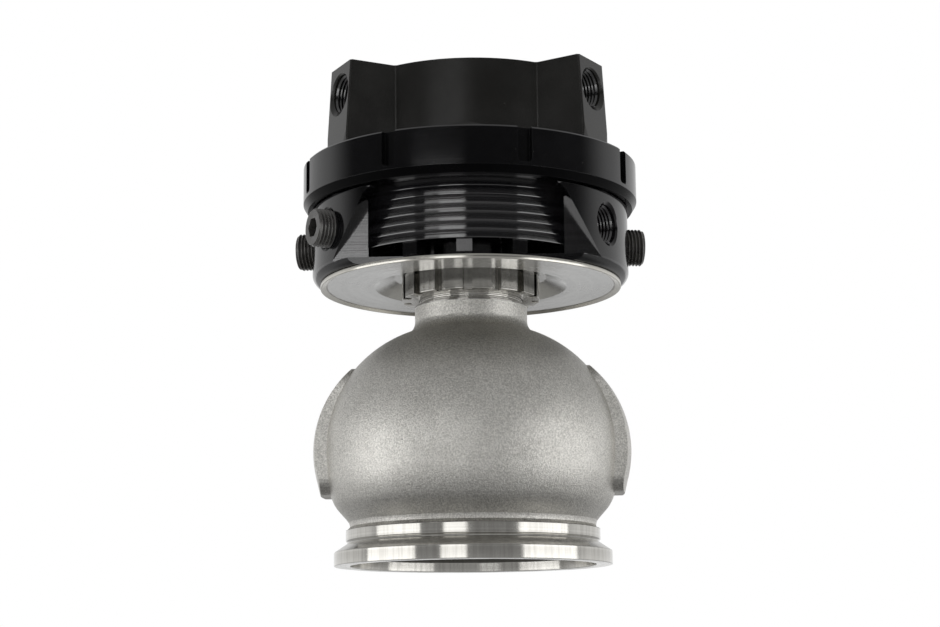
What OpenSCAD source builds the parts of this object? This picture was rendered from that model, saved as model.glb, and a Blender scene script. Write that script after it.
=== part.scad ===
// External turbo wastegate: a cast valve housing with a poppet valve,
// and a sprung diaphragm actuator clamped on its neck.
// The origin is the centre of the inlet flange's lower face, +Z runs up the valve stem,
// -Y is the front and +Y is the outlet.

/* [Valve] */
// Radius of the throat through the seat ring
throat_r = 22.8; // [22:0.1:23.6]
// How far the valve head reaches past the throat
head_overlap = 2.2; // [1.8:0.1:2.4]
// Height of the 45 degree sealing face
valve_face_h = 2; // [1.8:0.1:2.2]
// How far the sealing face stands above the seat ring
valve_face_stand = 0.7; // [0.6:0.1:1]
// Thickness of the valve head's rim
valve_rim_h = 1.8; // [1.4:0.1:2.2]
// Rise of the head's back from its rim to the swept neck
valve_cone_h = 1.5; // [1:0.1:2]
// Height and radius of the swept neck
tulip_r = 11; // [9:0.5:13]
// Radius of the valve stem
stem_r = 4; // [3.8:0.05:4.4]
// Step from the stem down to its threaded end
stem_step = 1; // [0.8:0.1:1.2]
// How far the stem stands above its nut
stem_stand = 1.1; // [0.6:0.1:2]
// How far the valve lifts
valve_lift = 12; // [8:0.5:12]

/* [Seat and guide] */
// Width of the seat ring outside the valve head
seat_land = 3.5; // [3:0.1:4]
// Height of the seat ring
seat_h = 6.3; // [5.8:0.1:6.8]
// Gap left between the valve and its seat
seat_gap = 0.25; // [0.15:0.05:0.4]
// Wall of the valve guide
guide_wall = 3; // [2.6:0.1:3.4]
// Room between the lifted valve's neck and the guide
guide_room = 10; // [6:0.5:10]
// Wall of the boss that holds the guide inside the bulb
guide_boss_wall = 4; // [3:0.1:5]
// Distance of that boss's lower end below the top of the neck
guide_boss_drop = 18.1; // [16:0.1:19]
// Running clearance between the stem and its guides, on the radius
stem_play = 0.06; // [0.02:0.01:0.1]
// How far the stem seal is wider than the guide
stem_seal_w = 2; // [1.5:0.1:2.4]
// Height of the stem seal
stem_seal_h = 3.7; // [3:0.1:4.2]

/* [Inlet] */
// Depth of the inlet bore before it narrows
inlet_bore_depth = 2.6; // [2:0.1:3]
// Width of the slope between the inlet bore and the seat ring
inlet_slope_w = 3.7; // [3:0.1:4.2]
// Rise of that slope to the seat ring's lower face
inlet_slope_h = 1.1; // [0.8:0.1:1.6]
// Wall between the inlet bore and the hub
hub_wall = 1.3; // [1.1:0.1:2]
// Height of the hub above the V
hub_h = 4.3; // [3.8:0.1:4.8]
// How far the V-band flanges stand out at the inlet
inlet_vee_w = 3.1; // [2.6:0.1:3.6]
// Height of the sloping V of both flanges
vee_h = 2.3; // [2:0.1:2.6]
// Height of the inlet flange's straight rim
inlet_rim_h = 3.5; // [3:0.1:3.8]

/* [Cast bulb] */
// How far inside the throat's edge the bulb's profile circle is centred
bulb_inset = 16.55; // [16:0.05:17]
// Radius of the bulb's profile circle
bulb_arc_r = 32.75; // [32:0.05:34]
// Thickness of the cast wall
cast_wall = 4; // [3.5:0.1:4.4]
// Step from the hub in to the cast foot
foot_step = 1.1; // [0.6:0.1:1.3]
// Radius of the fillet between bulb and foot
foot_fillet = 4; // [3.5:0.1:4.4]
// Depth of that fillet's middle below the hub's top
foot_drop = 0.19; // [0.15:0.01:0.3]
// Radius of the cast neck
neck_r = 15.1; // [14.6:0.1:16]
// Height of the straight part of the neck
neck_h = 4.03; // [3.6:0.01:4.8]
// Radius of the fillet between bulb and neck
neck_fillet = 4; // [3:0.5:5]
// How far the raised pads on the flanks stand proud of the bulb's middle
pad_rise = 3.15; // [2.5:0.05:3.6]
// Radius of the pads' own profile circle
pad_arc_r = 29; // [28:0.5:31]
// Drop of that circle's middle below the bulb's
pad_arc_drop = 0.75; // [0.5:0.05:1]
// Width of a raised pad, front to back
pad_w = 21; // [18:0.5:24]
// Drop of a pad's lower edge below the bulb's middle
pad_drop = 12.25; // [11:0.25:12.5]
// Height of a raised pad
pad_h = 33.5; // [30:0.5:34]
// Corner radius of a raised pad
pad_corner = 5; // [3:0.5:8]

/* [Outlet] */
// Radius of the outlet bore
outlet_bore_r = 24; // [22:0.1:25]
// Height of the outlet bore's lowest line above the seat ring
outlet_sill = 0.3; // [0.2:0.1:0.6]
// Wall of the outlet pipe
outlet_wall = 3.5; // [3:0.1:4]
// Distance of the outlet flange's face from the bulb's side
outlet_reach = 17; // [15:0.5:20]
// How far the outlet's V-band flange stands out from its pipe
outlet_vee_w = 4; // [3.4:0.1:4.4]
// Thickness of the outlet flange's straight rim
outlet_rim_h = 3.2; // [2.8:0.1:3.6]
// How much wider the register in the outlet's face is than the bore, on the radius
outlet_register_w = 2; // [1.5:0.1:2.5]
// Depth of that register
outlet_register_depth = 2.6; // [2:0.1:3]

/* [Neck thread and lock ring] */
// Step from the neck in to the threaded spigot
spigot_step = 1.33; // [1.1:0.01:1.6]
// How far the spigot reaches into the actuator body
spigot_reach = 2.75; // [2.4:0.05:3.1]
// Distance of the lock ring above the neck
ring_lift = 1.7; // [1.5:0.1:2]
// Depth of the groove at the spigot's foot
groove_depth = 0.5; // [0.3:0.1:0.8]
// Width of that groove
groove_w = 0.5; // [0.3:0.1:0.6]
// Distance of the groove below the lock ring
groove_drop = 0.4; // [0.2:0.1:0.6]
// Height of the lock ring
ring_h = 6.45; // [5.8:0.05:7]
// Wall of the lock ring outside the spigot
ring_wall = 4.83; // [4.4:0.01:5.4]
// Number of spanner slots in the lock ring
ring_slots = 15; // [9:1:18]
// Width of a spanner slot
ring_slot_w = 2.4; // [2:0.1:3]
// Depth of a spanner slot
ring_slot_depth = 2.2; // [1.6:0.1:2.8]
// Running clearance on a turning thread, on the radius
thread_play = 0.08; // [0.04:0.01:0.1]

/* [Heat shield plate] */
// Thickness of the plate
plate_t = 1.2; // [1:0.1:1.5]
// Step from the actuator body's side in to the plate's rim
plate_inset = 2.1; // [1.6:0.1:2.6]
// Depth of the dish round the lock ring
dish_depth = 3.4; // [3:0.1:3.7]
// Room round the lock ring on the floor of the dish
ring_room = 1.9; // [1.4:0.1:2.4]
// Width of the dish's sloping side
dish_slope_w = 5.5; // [4.5:0.1:6]
// Width of the flared lip round the rim
plate_lip_w = 1.9; // [1.4:0.1:2.4]
// Height of that lip
plate_lip_h = 0.7; // [0.4:0.05:0.75]
// Width of the flat at the lip's foot
plate_lip_foot = 0.4; // [0.3:0.1:0.8]

/* [Diaphragm and plates] */
// Radius of the raised middle that centres the inner spring
plate_boss_r = 6.9; // [6.6:0.1:7.4]
// Height of that raised middle
plate_boss_h = 1.5; // [1:0.1:2]
// Thickness of the lower plate
lower_plate_t = 1.6; // [1.4:0.1:1.8]
// Thickness of the upper plate
upper_plate_t = 2.5; // [2:0.1:3]
// Width of the plates beyond the outer spring
plate_land = 1.5; // [1:0.1:2]
// Gap between the lower plate and the stem bush at rest
plate_clear = 0.4; // [0.3:0.05:0.8]
// Thickness of the diaphragm
diaphragm_t = 1.2; // [1:0.1:1.4]
// Width of the diaphragm's flat between the plates' edge and its cone
diaphragm_flat_w = 0.8; // [0.5:0.1:1.2]
// Gap between the top of the diaphragm's cone and the chamber's wall
diaphragm_wall_gap = 1.2; // [1:0.1:1.8]
// Step from the threaded rim in to the diaphragm's edge
diaphragm_step = 0.8; // [0.5:0.1:1.4]
// Step from the raised middle in to the washer's edge
washer_step = 0.5; // [0.3:0.1:0.8]
// Thickness of that washer
washer_t = 1; // [0.8:0.1:1.2]
// Width across the flats of the stem nut
nut_af = 10; // [9:0.1:10.5]
// Height of the stem nut
nut_h = 4.2; // [3.6:0.1:4.6]

/* [Springs] */
// Wire radius of the inner spring
inner_wire_r = 1.3; // [1.1:0.1:1.5]
// Wire radius of the outer spring
outer_wire_r = 1.8; // [1.5:0.1:2]
// Gap between the inner spring and the raised middle that centres it
spring_fit = 0.5; // [0.3:0.1:0.8]
// Room between the two springs
spring_room = 1.7; // [1.2:0.1:2.2]
// Turns of the inner spring
inner_turns = 7; // [5.5:0.5:7.5]
// Turns of the outer spring
outer_turns = 5.5; // [4.5:0.5:6]
// Turns at each end of a spring that lie closed
closed_turns = 0.8; // [0.6:0.1:1]
// Pitch of the closed turns, in wire radii
closed_pitch = 2.15; // [2.1:0.05:2.4]
// Gap between a spring's end and its seat
spring_gap = 0.02; // [0.01:0.01:0.1]

/* [Actuator body] */
// Room between the diaphragm plates and the chamber's wall
chamber_room = 14.7; // [13:0.1:16]
// Height of the air chamber under the diaphragm's rim
chamber_h = 18.1; // [17:0.1:19]
// Thickness of the chamber's floor
floor_t = 3; // [2.6:0.1:3.6]
// Wall of the drum round the chamber
drum_wall = 3.9; // [3.4:0.1:4.4]
// How far the lobes stand out from the drum
lobe_depth = 7.2; // [6.4:0.1:8]
// Radius of the rounded edge under the lobes
body_edge_r = 2.5; // [1.5:0.1:3]
// Height of the base rim under the air gap
base_rim_h = 1.85; // [1.6:0.05:2.2]
// Height of the air gap
air_gap_h = 3.4; // [3:0.1:3.8]
// Number of ribs across the air gap
rib_count = 15; // [9:1:18]
// Width of a rib
rib_w = 4; // [3:0.1:4.5]
// How far a rib stands back from the drum's face
rib_inset = 0.8; // [0.4:0.1:1.2]
// Width of the body's land on the floor of the dish
dish_land = 1.5; // [1:0.1:2]
// Distance of the pockets' flat back from the axis
pocket_y = 24.8; // [24.4:0.1:26.4]
// How far a pocket's foot runs out past the body's side
pocket_run_out = 0.16; // [0.1:0.02:0.3]
// Step from the pockets' back out to the flat across the base rim
rim_flat_step = 5.1; // [4.4:0.1:5.8]
// How much narrower a pocket is at its shoulder than at its foot, each side
pocket_taper = 8.9; // [8:0.1:10]
// How much narrower it is at the top than at its shoulder, each side
pocket_top_taper = 4.4; // [3:0.1:6]
// Drop of that shoulder below the top of the lobes
pocket_shoulder_drop = 1.8; // [1.4:0.1:3]
// Step from the lobes in to the collar's thread
thread_step = 0.4; // [0.2:0.1:0.8]
// Depth of the groove between the lobes and the threaded rim
thread_groove_depth = 2.2; // [1.6:0.1:2.6]
// Height of the thread's start above the collar's lower face
thread_start = 1.2; // [0.8:0.1:1.6]
// Wall of the stem bush
bush_wall = 2.5; // [2.3:0.1:3]
// How far the bush stands above the chamber's floor
bush_stand = 2.6; // [2.2:0.1:3]
// Width of the bush's flange beyond its body
bush_flange_w = 3; // [2:0.5:4]
// Thickness of that flange
bush_flange_t = 1; // [0.8:0.1:1.2]
// Width of the boss round the bush
bush_boss_w = 5.5; // [4.5:0.5:7]
// Wire radius of the stem's sealing ring
o_ring_wire_r = 1; // [0.9:0.05:1.05]

/* [Ports] */
// Radius of the tapped ports
port_r = 5.15; // [5:0.05:5.4]
// Width of the countersink at each port's mouth
port_bevel = 0.75; // [0.5:0.05:1]
// Radius of the passage behind each port
passage_r = 2.5; // [2:0.1:2.8]
// Height of the body's ports above the chamber's floor
body_port_rise = 3.1; // [3:0.1:3.6]
// Depth of the tapped holes in the body
body_port_depth = 8.4; // [8:0.1:8.6]
// Angles of the plugged body ports, from the front, positive towards +X
plugged_ports = [-97, -59, 100];
// Angle of the open body port
open_port = 60; // [59:0.5:64]
// How far each plug stands out of the body
plug_stands = [5.1, 4, 4.9];
// Length of a plug
plug_length = 9.5; // [8.6:0.1:10.5]
// Clearance between a plug and its port, on the radius
plug_play = 0.05; // [0.02:0.01:0.1]
// Width across the flats of a plug's hexagon socket
plug_socket_af = 4.8; // [4:0.1:5.5]
// Depth of that socket
plug_socket_depth = 5; // [4:0.1:5.5]

/* [Locking collar] */
// Wall of the collar outside its thread
collar_wall = 2.92; // [2.6:0.01:3.4]
// Length of the collar's thread below the body's top
collar_grip = 6.5; // [6:0.1:7]
// Gap between the lobes and the collar
collar_gap = 0.4; // [0.3:0.1:0.8]
// Thickness of the collar's lip
collar_lip_t = 2.2; // [1.8:0.1:2.6]
// Size of the fine chamfer on the collar's top edge
collar_chamfer = 0.5; // [0.3:0.1:0.8]
// Drop of the sloping edge at the collar's foot
collar_bevel_h = 2; // [1:0.1:2.5]
// Width of that sloping edge
collar_bevel_w = 1.2; // [0.6:0.1:1.6]
// Number of spanner notches in the collar
notch_count = 8; // [4:1:12]
// Width of a notch
notch_w = 3.8; // [3:0.1:4.5]
// Depth of a notch
notch_depth = 1.9; // [1.4:0.1:2.2]
// Height of a notch's foot above the collar's lower face
notch_foot = 2.9; // [2:0.1:4]
// Corner radius at a notch's foot
notch_corner = 1; // [0.5:0.1:1.2]
// Angle of the first notch from the front
notch_turn = 20.5; // [0:0.5:45]
// Thickness of the slip ring under the collar's lip
slip_ring_t = 0.55; // [0.45:0.05:0.8]

/* [Cap] */
// Room between the diaphragm plates and the spring cavity's wall
cavity_room = 3.7; // [3.2:0.1:4.2]
// Wall between the spring cavity and the middle of the cap's front
cap_wall = 3.2; // [2.8:0.1:3.8]
// Distance of the centres of the core's three arcs from the axis
core_arc_shift = 12.3; // [12:0.1:13]
// Height of the cap above its base disc
crown_h = 23.3; // [21:0.1:25]
// Thickness of the roof over the springs
roof_t = 4.2; // [3.5:0.1:5]
// Height over which the cavity narrows above the diaphragm
cavity_slope_h = 8.3; // [7.5:0.1:9]
// Step from the thread in to the cap's clamped rim
cap_rim_step = 0.2; // [0.1:0.05:0.4]
// Thickness of the cap's clamped rim
cap_rim_t = 1.7; // [1.5:0.05:1.9]
// Step from the clamped rim in to the base disc
cap_shoulder_w = 2; // [1.6:0.1:2.4]
// Gap between the base disc and the collar's lip
lip_gap = 0.3; // [0.2:0.05:0.5]
// How far the base disc stands above the collar
cap_stand = 1.2; // [0.8:0.1:1.6]
// Radius of the fillet round the foot of the core
core_fillet = 7; // [5:0.5:8]
// Wall beside the ports in the ears
ear_wall = 1.4; // [1.2:0.1:1.8]
// Step from the base disc's edge in to an ear's end at the top
ear_inset = 1.6; // [1.5:0.1:2.6]
// Slope of an ear's end, in degrees from upright
ear_draft = 3.4; // [2:0.1:3.6]
// Drop of the ports in the ears below the cap's top
ear_port_drop = 7.7; // [7:0.1:9]
// Depth of the tapped holes in the ears
ear_port_depth = 10; // [8:0.1:11]

/* [Small clearances] */
// Gap between faces that rest on each other across a moving joint
face_gap = 0.05; // [0.02:0.01:0.1]
// Gap round plain holes and collars
loose_gap = 0.23; // [0.15:0.01:0.3]
// How far a fillet runs into the round wall that it blends
fillet_bite = 0.1; // [0.05:0.01:0.2]

/* [Hidden] */
$fn = 96;
cut = 1;
far = 200;
spring_sides = 8;
spring_steps = 24;

valve_head_r = throat_r + head_overlap;
seat_outer_r = valve_head_r + seat_land;
inlet_bore_r = seat_outer_r + inlet_slope_w;
hub_r = inlet_bore_r + hub_wall;
inlet_flange_r = hub_r + inlet_vee_w;
seat_low_z = inlet_bore_depth + inlet_slope_h;
seat_top_z = seat_low_z + seat_h;
valve_face_z = seat_top_z + valve_face_stand;
head_top_z = valve_face_z + valve_rim_h;
tulip_z = head_top_z + valve_cone_h;
hub_low_z = inlet_rim_h + vee_h;
hub_top_z = hub_low_z + hub_h;

bulb_offset = throat_r - bulb_inset;
cavity_arc_r = bulb_arc_r - cast_wall;
foot_x = hub_r - foot_step + foot_fillet;
foot_z = hub_top_z - foot_drop;
bulb_z = foot_z + sqrt(pow(bulb_arc_r + foot_fillet - fillet_bite, 2) - pow(foot_x - bulb_offset, 2));
fillet_x = neck_r + neck_fillet;
fillet_z = bulb_z + sqrt(pow(bulb_arc_r + neck_fillet - fillet_bite, 2) - pow(fillet_x - bulb_offset, 2));
neck_top_z = fillet_z + neck_h;
pad_low_z = bulb_z - pad_drop;
pad_arc_x = bulb_offset + bulb_arc_r + pad_rise - pad_arc_r;
guide_r = stem_r + guide_wall;
guide_boss_r = guide_r + guide_boss_wall;
guide_boss_z = neck_top_z - guide_boss_drop;
guide_low_z = tulip_z + tulip_r + valve_lift + guide_room;
stem_seal_r = guide_r + stem_seal_w;

outlet_z = seat_top_z + outlet_bore_r + outlet_sill;
outlet_face_y = bulb_offset + bulb_arc_r + outlet_reach;
outlet_pipe_r = outlet_bore_r + outlet_wall;
outlet_flange_r = outlet_pipe_r + outlet_vee_w;
outlet_register_r = outlet_bore_r + outlet_register_w;
outlet_register_y = outlet_face_y - outlet_register_depth;

spigot_r = neck_r - spigot_step;
ring_r = spigot_r + ring_wall;
ring_low_z = neck_top_z + ring_lift;
ring_top_z = ring_low_z + ring_h;
groove_top_z = ring_low_z - groove_drop;
plate_floor_z = ring_top_z + face_gap;
plate_z = plate_floor_z - dish_depth;
plate_top_z = plate_z + plate_t;
dish_inner_r = ring_r + ring_room;
dish_outer_r = dish_inner_r + dish_slope_w;
hub_bottom_z = plate_floor_z + plate_t + face_gap;
spigot_top_z = hub_bottom_z + spigot_reach;
guide_top_z = spigot_top_z - stem_seal_h;
body_bore_r = spigot_r + thread_play;
body_bore_top_z = spigot_top_z + loose_gap;

inner_spring_r = plate_boss_r + spring_fit + inner_wire_r;
outer_spring_r = inner_spring_r + inner_wire_r + spring_room + outer_wire_r;
plates_r = outer_spring_r + outer_wire_r + plate_land;
chamber_r = plates_r + chamber_room;
drum_r = chamber_r + drum_wall;
body_r = drum_r + lobe_depth;
plate_r = body_r - plate_inset;
collar_thread_r = body_r - thread_step;
thread_groove_r = collar_thread_r - thread_groove_depth;
collar_r = collar_thread_r + thread_play + collar_wall;
diaphragm_r = collar_thread_r - diaphragm_step;
diaphragm_rim_r = chamber_r - diaphragm_wall_gap;
cap_rim_r = collar_thread_r - cap_rim_step;
cap_base_r = cap_rim_r - cap_shoulder_w;
collar_lip_r = cap_base_r + lip_gap;
gap_inner_r = dish_outer_r - cut;
body_hub_r = dish_inner_r + dish_land;
bush_r = stem_r + bush_wall;

body_low_z = plate_top_z + face_gap;
rim_top_z = body_low_z + base_rim_h;
drum_low_z = rim_top_z + air_gap_h;
chamber_floor_z = drum_low_z + floor_t;
body_top_z = chamber_floor_z + chamber_h;
collar_low_z = body_top_z - collar_grip;
lobe_top_z = collar_low_z - collar_gap;
thread_low_z = collar_low_z + thread_start;
body_port_z = chamber_floor_z + body_port_rise;
bush_top_z = chamber_floor_z + bush_stand;
o_ring_z = body_bore_top_z + o_ring_wire_r;
pocket_low_w = sqrt(pow(body_r, 2) - pow(pocket_y, 2)) + pocket_run_out;
pocket_high_w = pocket_low_w - pocket_taper;
pocket_top_w = pocket_high_w - pocket_top_taper;
pocket_shoulder_z = lobe_top_z - pocket_shoulder_drop;
rim_flat_y = pocket_y + rim_flat_step;

stem_thread_r = stem_r - stem_step;
lower_plate_z = bush_top_z + plate_clear;
diaphragm_low_z = lower_plate_z + lower_plate_t;
upper_plate_z = diaphragm_low_z + diaphragm_t;
spring_seat_z = upper_plate_z + upper_plate_t;
washer_z = spring_seat_z + plate_boss_h;
nut_z = washer_z + washer_t;
stem_top_z = nut_z + nut_h + stem_stand;
washer_r = plate_boss_r - washer_step;

diaphragm_top_z = body_top_z + diaphragm_t;
cap_rim_top_z = diaphragm_top_z + cap_rim_t;
collar_lip_z = cap_rim_top_z + face_gap + slip_ring_t;
collar_top_z = collar_lip_z + collar_lip_t;
cap_base_z = collar_top_z + cap_stand;
cap_top_z = cap_base_z + crown_h;
cavity_r = plates_r + cavity_room;
cavity_shoulder_z = diaphragm_top_z + cavity_slope_h;
roof_z = cap_top_z - roof_t;
core_front_r = cavity_r + cap_wall;
core_arc_r = core_front_r + core_arc_shift;

ear_angles = [-60, 60, 180];
ear_half_w = port_r + ear_wall;
ear_top_r = cap_base_r - ear_inset;
ear_port_z = cap_top_z - ear_port_drop;
ear_mouth_r = ear_top_r + ear_port_drop * tan(ear_draft);
port_angles = concat(plugged_ports, [open_port]);
port_mouth_r = port_r + port_bevel;
plug_r = port_r - plug_play;

// Turns a piece drawn towards the front to an angle, positive towards +X
module at_angle(angle) {
    rotate([0, 0, angle]) children();
}

// A plain tube from low to high
module tube(outer, inner, low, high) {
    difference() {
        translate([0, 0, low]) cylinder(r = outer, h = high - low);
        translate([0, 0, low - cut]) cylinder(r = inner, h = high - low + 2 * cut);
    }
}

// A cylinder that points to the front, from one distance from the axis to another
module spoke(r, from_r, to_r, z) {
    translate([0, -from_r, z]) rotate([90, 0, 0]) cylinder(r = r, h = to_r - from_r);
}

// A tapped port with its countersink and passage, drawn towards the front
module port_cut(mouth, depth, passage_to, z) {
    spoke(port_r, mouth - depth, mouth + cut, z);
    spoke(passage_r, passage_to, mouth, z);
    translate([0, -mouth, z]) rotate([-90, 0, 0])
        translate([0, 0, -cut])
            cylinder(r1 = port_mouth_r + cut, r2 = port_r, h = port_mouth_r - port_r + cut);
}

// Outer profile of the bulb and neck
module bulb_profile() {
    intersection() {
        translate([bulb_offset, bulb_z]) circle(r = bulb_arc_r);
        translate([0, hub_top_z - cut]) square([far, far]);
    }
    difference() {
        polygon([[0, bulb_z], [bulb_offset, bulb_z], [fillet_x, fillet_z], [0, fillet_z]]);
        translate([fillet_x, fillet_z]) circle(r = neck_fillet);
    }
    difference() {
        polygon([[0, bulb_z], [bulb_offset, bulb_z], [foot_x, foot_z], [0, foot_z]]);
        translate([foot_x, foot_z]) circle(r = foot_fillet);
    }
    translate([0, bulb_z]) square([neck_r, neck_top_z - bulb_z]);
}

module hub_profile() {
    polygon([
        [0, 0],
        [inlet_flange_r, 0],
        [inlet_flange_r, inlet_rim_h],
        [hub_r, hub_low_z],
        [hub_r, hub_top_z],
        [0, hub_top_z]
    ]);
}

// The two pads, which hug the bulb more closely towards their tops
module raised_pads() {
    intersection() {
        rotate_extrude()
            intersection() {
                translate([pad_arc_x, bulb_z - pad_arc_drop]) circle(r = pad_arc_r);
                square([far, far]);
            }
        translate([0, 0, pad_low_z])
            rotate([90, 0, 90])
                linear_extrude(height = far, center = true)
                    rounded_rectangle(pad_w, pad_h, pad_corner);
        difference() {
            translate([0, 0, bulb_z]) cube([far, pad_w, far], center = true);
            translate([0, 0, bulb_z]) cube([2 * guide_boss_r, far, far], center = true);
        }
    }
}

// A rectangle that stands on the X axis, with round corners made from circles
module rounded_rectangle(w, h, r) {
    for (side = [-1, 1]) {
        translate([side * (w / 2 - r), r]) circle(r = r);
        translate([side * (w / 2 - r), h - r]) circle(r = r);
    }
    translate([-w / 2, r]) square([w, h - 2 * r]);
    translate([r - w / 2, 0]) square([w - 2 * r, h]);
}

module outlet_pipe() {
    translate([0, 0, outlet_z])
        rotate([-90, 0, 0])
            rotate_extrude()
                polygon([
                    [0, bulb_offset],
                    [outlet_pipe_r, bulb_offset],
                    [outlet_pipe_r, outlet_face_y - outlet_rim_h - vee_h],
                    [outlet_flange_r, outlet_face_y - outlet_rim_h],
                    [outlet_flange_r, outlet_face_y],
                    [0, outlet_face_y]
                ]);
}

// The space inside the casting
module housing_cavity() {
    rotate_extrude()
        intersection() {
            translate([bulb_offset, bulb_z]) circle(r = cavity_arc_r);
            translate([0, seat_top_z]) square([far, far]);
        }
    outlet_start = guide_boss_r + guide_boss_wall;
    register_foot = outlet_register_y - outlet_register_w;
    translate([0, 0, outlet_z])
        rotate([-90, 0, 0]) {
            translate([0, 0, outlet_start]) cylinder(r = outlet_bore_r, h = far);
            translate([0, 0, register_foot])
                cylinder(r1 = outlet_bore_r, r2 = outlet_register_r, h = outlet_register_w);
            translate([0, 0, outlet_register_y]) cylinder(r = outlet_register_r, h = far);
        }
}

module inlet_cut() {
    rotate_extrude()
        polygon([
            [0, -cut],
            [inlet_bore_r, -cut],
            [inlet_bore_r, inlet_bore_depth],
            [seat_outer_r, seat_low_z - face_gap],
            [seat_outer_r, seat_top_z],
            [0, seat_top_z]
        ]);
}

module valve_housing() {
    color("silver")
        difference() {
            union() {
                rotate_extrude() hub_profile();
                rotate_extrude() bulb_profile();
                raised_pads();
                outlet_pipe();
                translate([0, 0, bulb_z]) cylinder(r = spigot_r, h = spigot_top_z - bulb_z);
            }
            difference() {
                housing_cavity();
                translate([0, 0, guide_boss_z]) cylinder(r = guide_boss_r, h = far);
            }
            inlet_cut();
            tube(far, spigot_r - groove_depth, groove_top_z - groove_w, groove_top_z);
            translate([0, 0, guide_boss_z - cut]) cylinder(r = guide_r, h = far);
            translate([0, 0, guide_top_z]) cylinder(r = stem_seal_r, h = far);
        }
}

module seat_ring() {
    seat_slope_r = valve_head_r - valve_face_z + seat_gap * sqrt(2);
    color("gainsboro")
        rotate_extrude()
            polygon([
                [throat_r, seat_low_z],
                [seat_outer_r, seat_low_z],
                [seat_outer_r, seat_top_z],
                [seat_slope_r + seat_top_z, seat_top_z],
                [throat_r, throat_r - seat_slope_r]
            ]);
}

module valve_guide() {
    color("darkgoldenrod") tube(guide_r, stem_r + stem_play, guide_low_z, guide_top_z);
}

module stem_seal() {
    color("dimgray") tube(stem_seal_r, stem_r + stem_play, guide_top_z, spigot_top_z);
}

module heat_shield_plate() {
    color("lightgray")
        rotate_extrude()
            polygon([
                [spigot_r + loose_gap, plate_floor_z],
                [dish_inner_r, plate_floor_z],
                [dish_outer_r, plate_z + plate_lip_h],
                [plate_r - plate_lip_w, plate_z + plate_lip_h],
                [plate_r - plate_lip_foot, plate_z],
                [plate_r, plate_z],
                [plate_r, plate_top_z],
                [dish_outer_r, plate_top_z],
                [dish_inner_r, plate_top_z + dish_depth],
                [spigot_r + loose_gap, plate_top_z + dish_depth]
            ]);
}

module lock_ring() {
    color("silver")
        difference() {
            tube(ring_r, spigot_r + thread_play, ring_low_z, ring_top_z);
            for (i = [0 : ring_slots - 1])
                at_angle(i * 360 / ring_slots)
                    translate([-ring_slot_w / 2, -ring_r - cut, ring_low_z - cut])
                        cube([ring_slot_w, ring_slot_depth + cut, far]);
        }
}

// Lobed drum with its round lower edge, before the pockets are cut
module body_blank() {
    rotate_extrude() {
        translate([0, body_low_z + body_edge_r])
            square([body_r, lobe_top_z - body_low_z - body_edge_r]);
        translate([0, body_low_z]) square([body_r - body_edge_r, body_edge_r + cut]);
        translate([body_r - body_edge_r, body_low_z + body_edge_r]) circle(r = body_edge_r);
        translate([0, body_low_z]) square([thread_groove_r, body_top_z - body_low_z]);
        translate([0, thread_low_z]) square([collar_thread_r, body_top_z - thread_low_z]);
    }
}

// One milled pocket at the front, which leaves the drum standing in it
module pocket_cut() {
    difference() {
        translate([0, -pocket_y, 0])
            rotate([90, 0, 0])
                linear_extrude(height = far)
                    polygon([
                        [-pocket_low_w, rim_top_z],
                        [pocket_low_w, rim_top_z],
                        [pocket_high_w, pocket_shoulder_z],
                        [pocket_top_w, thread_low_z],
                        [-pocket_top_w, thread_low_z],
                        [-pocket_high_w, pocket_shoulder_z]
                    ]);
        translate([0, 0, rim_top_z - cut]) cylinder(r = drum_r, h = far);
    }
    translate([-far / 2, -rim_flat_y - far, 0]) cube([far, far, rim_top_z + face_gap]);
}

// The air gap between the body's floor and its base rim, less the ribs
module air_gap_cut() {
    difference() {
        tube(drum_r, gap_inner_r, rim_top_z, drum_low_z);
        for (i = [0 : rib_count - 1])
            at_angle(i * 360 / rib_count)
                translate([-rib_w / 2, -drum_r + rib_inset, rim_top_z - cut])
                    cube([rib_w, drum_r - gap_inner_r, far]);
    }
    translate([0, 0, hub_bottom_z - far]) cylinder(r = gap_inner_r, h = far);
    tube(dish_outer_r + cut, body_hub_r, rim_top_z - far, drum_low_z);
}

module actuator_body() {
    boss_top_z = bush_top_z - bush_flange_t;
    color("black")
        difference() {
            body_blank();
            pocket_cut();
            rotate([0, 0, 180]) pocket_cut();
            air_gap_cut();
            difference() {
                translate([0, 0, chamber_floor_z]) cylinder(r = chamber_r, h = far);
                translate([0, 0, chamber_floor_z - cut])
                    cylinder(r = bush_r + bush_boss_w, h = boss_top_z - chamber_floor_z + cut);
            }
            translate([0, 0, hub_bottom_z - cut])
                cylinder(r = body_bore_r, h = body_bore_top_z - hub_bottom_z + cut);
            translate([0, 0, hub_bottom_z]) cylinder(r = bush_r, h = far);
            for (angle = port_angles)
                at_angle(angle)
                    port_cut(body_r, body_port_depth, chamber_r - cut, body_port_z);
        }
}

module stem_bush() {
    bore_r = stem_r + stem_play;
    color("peru") {
        tube(bush_r, bore_r, o_ring_z + o_ring_wire_r, bush_top_z);
        tube(bush_r + bush_flange_w, bore_r, bush_top_z - bush_flange_t, bush_top_z);
    }
}

module stem_o_ring() {
    mean_r = (stem_r + bush_r) / 2;
    color("darkslategray")
        rotate_extrude()
            translate([mean_r, o_ring_z]) circle(r = o_ring_wire_r);
}

// A plug that stands on its inner end
module plug() {
    difference() {
        cylinder(r = plug_r, h = plug_length);
        translate([0, 0, plug_length - plug_socket_depth])
            cylinder(r = plug_socket_af / sqrt(3), h = plug_socket_depth + cut, $fn = 6);
    }
}

module body_port_plugs() {
    color("black")
        for (i = [0 : len(plugged_ports) - 1])
            at_angle(plugged_ports[i])
                translate([0, plug_length - body_r - plug_stands[i], body_port_z])
                    rotate([90, 0, 0])
                        plug();
}

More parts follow.
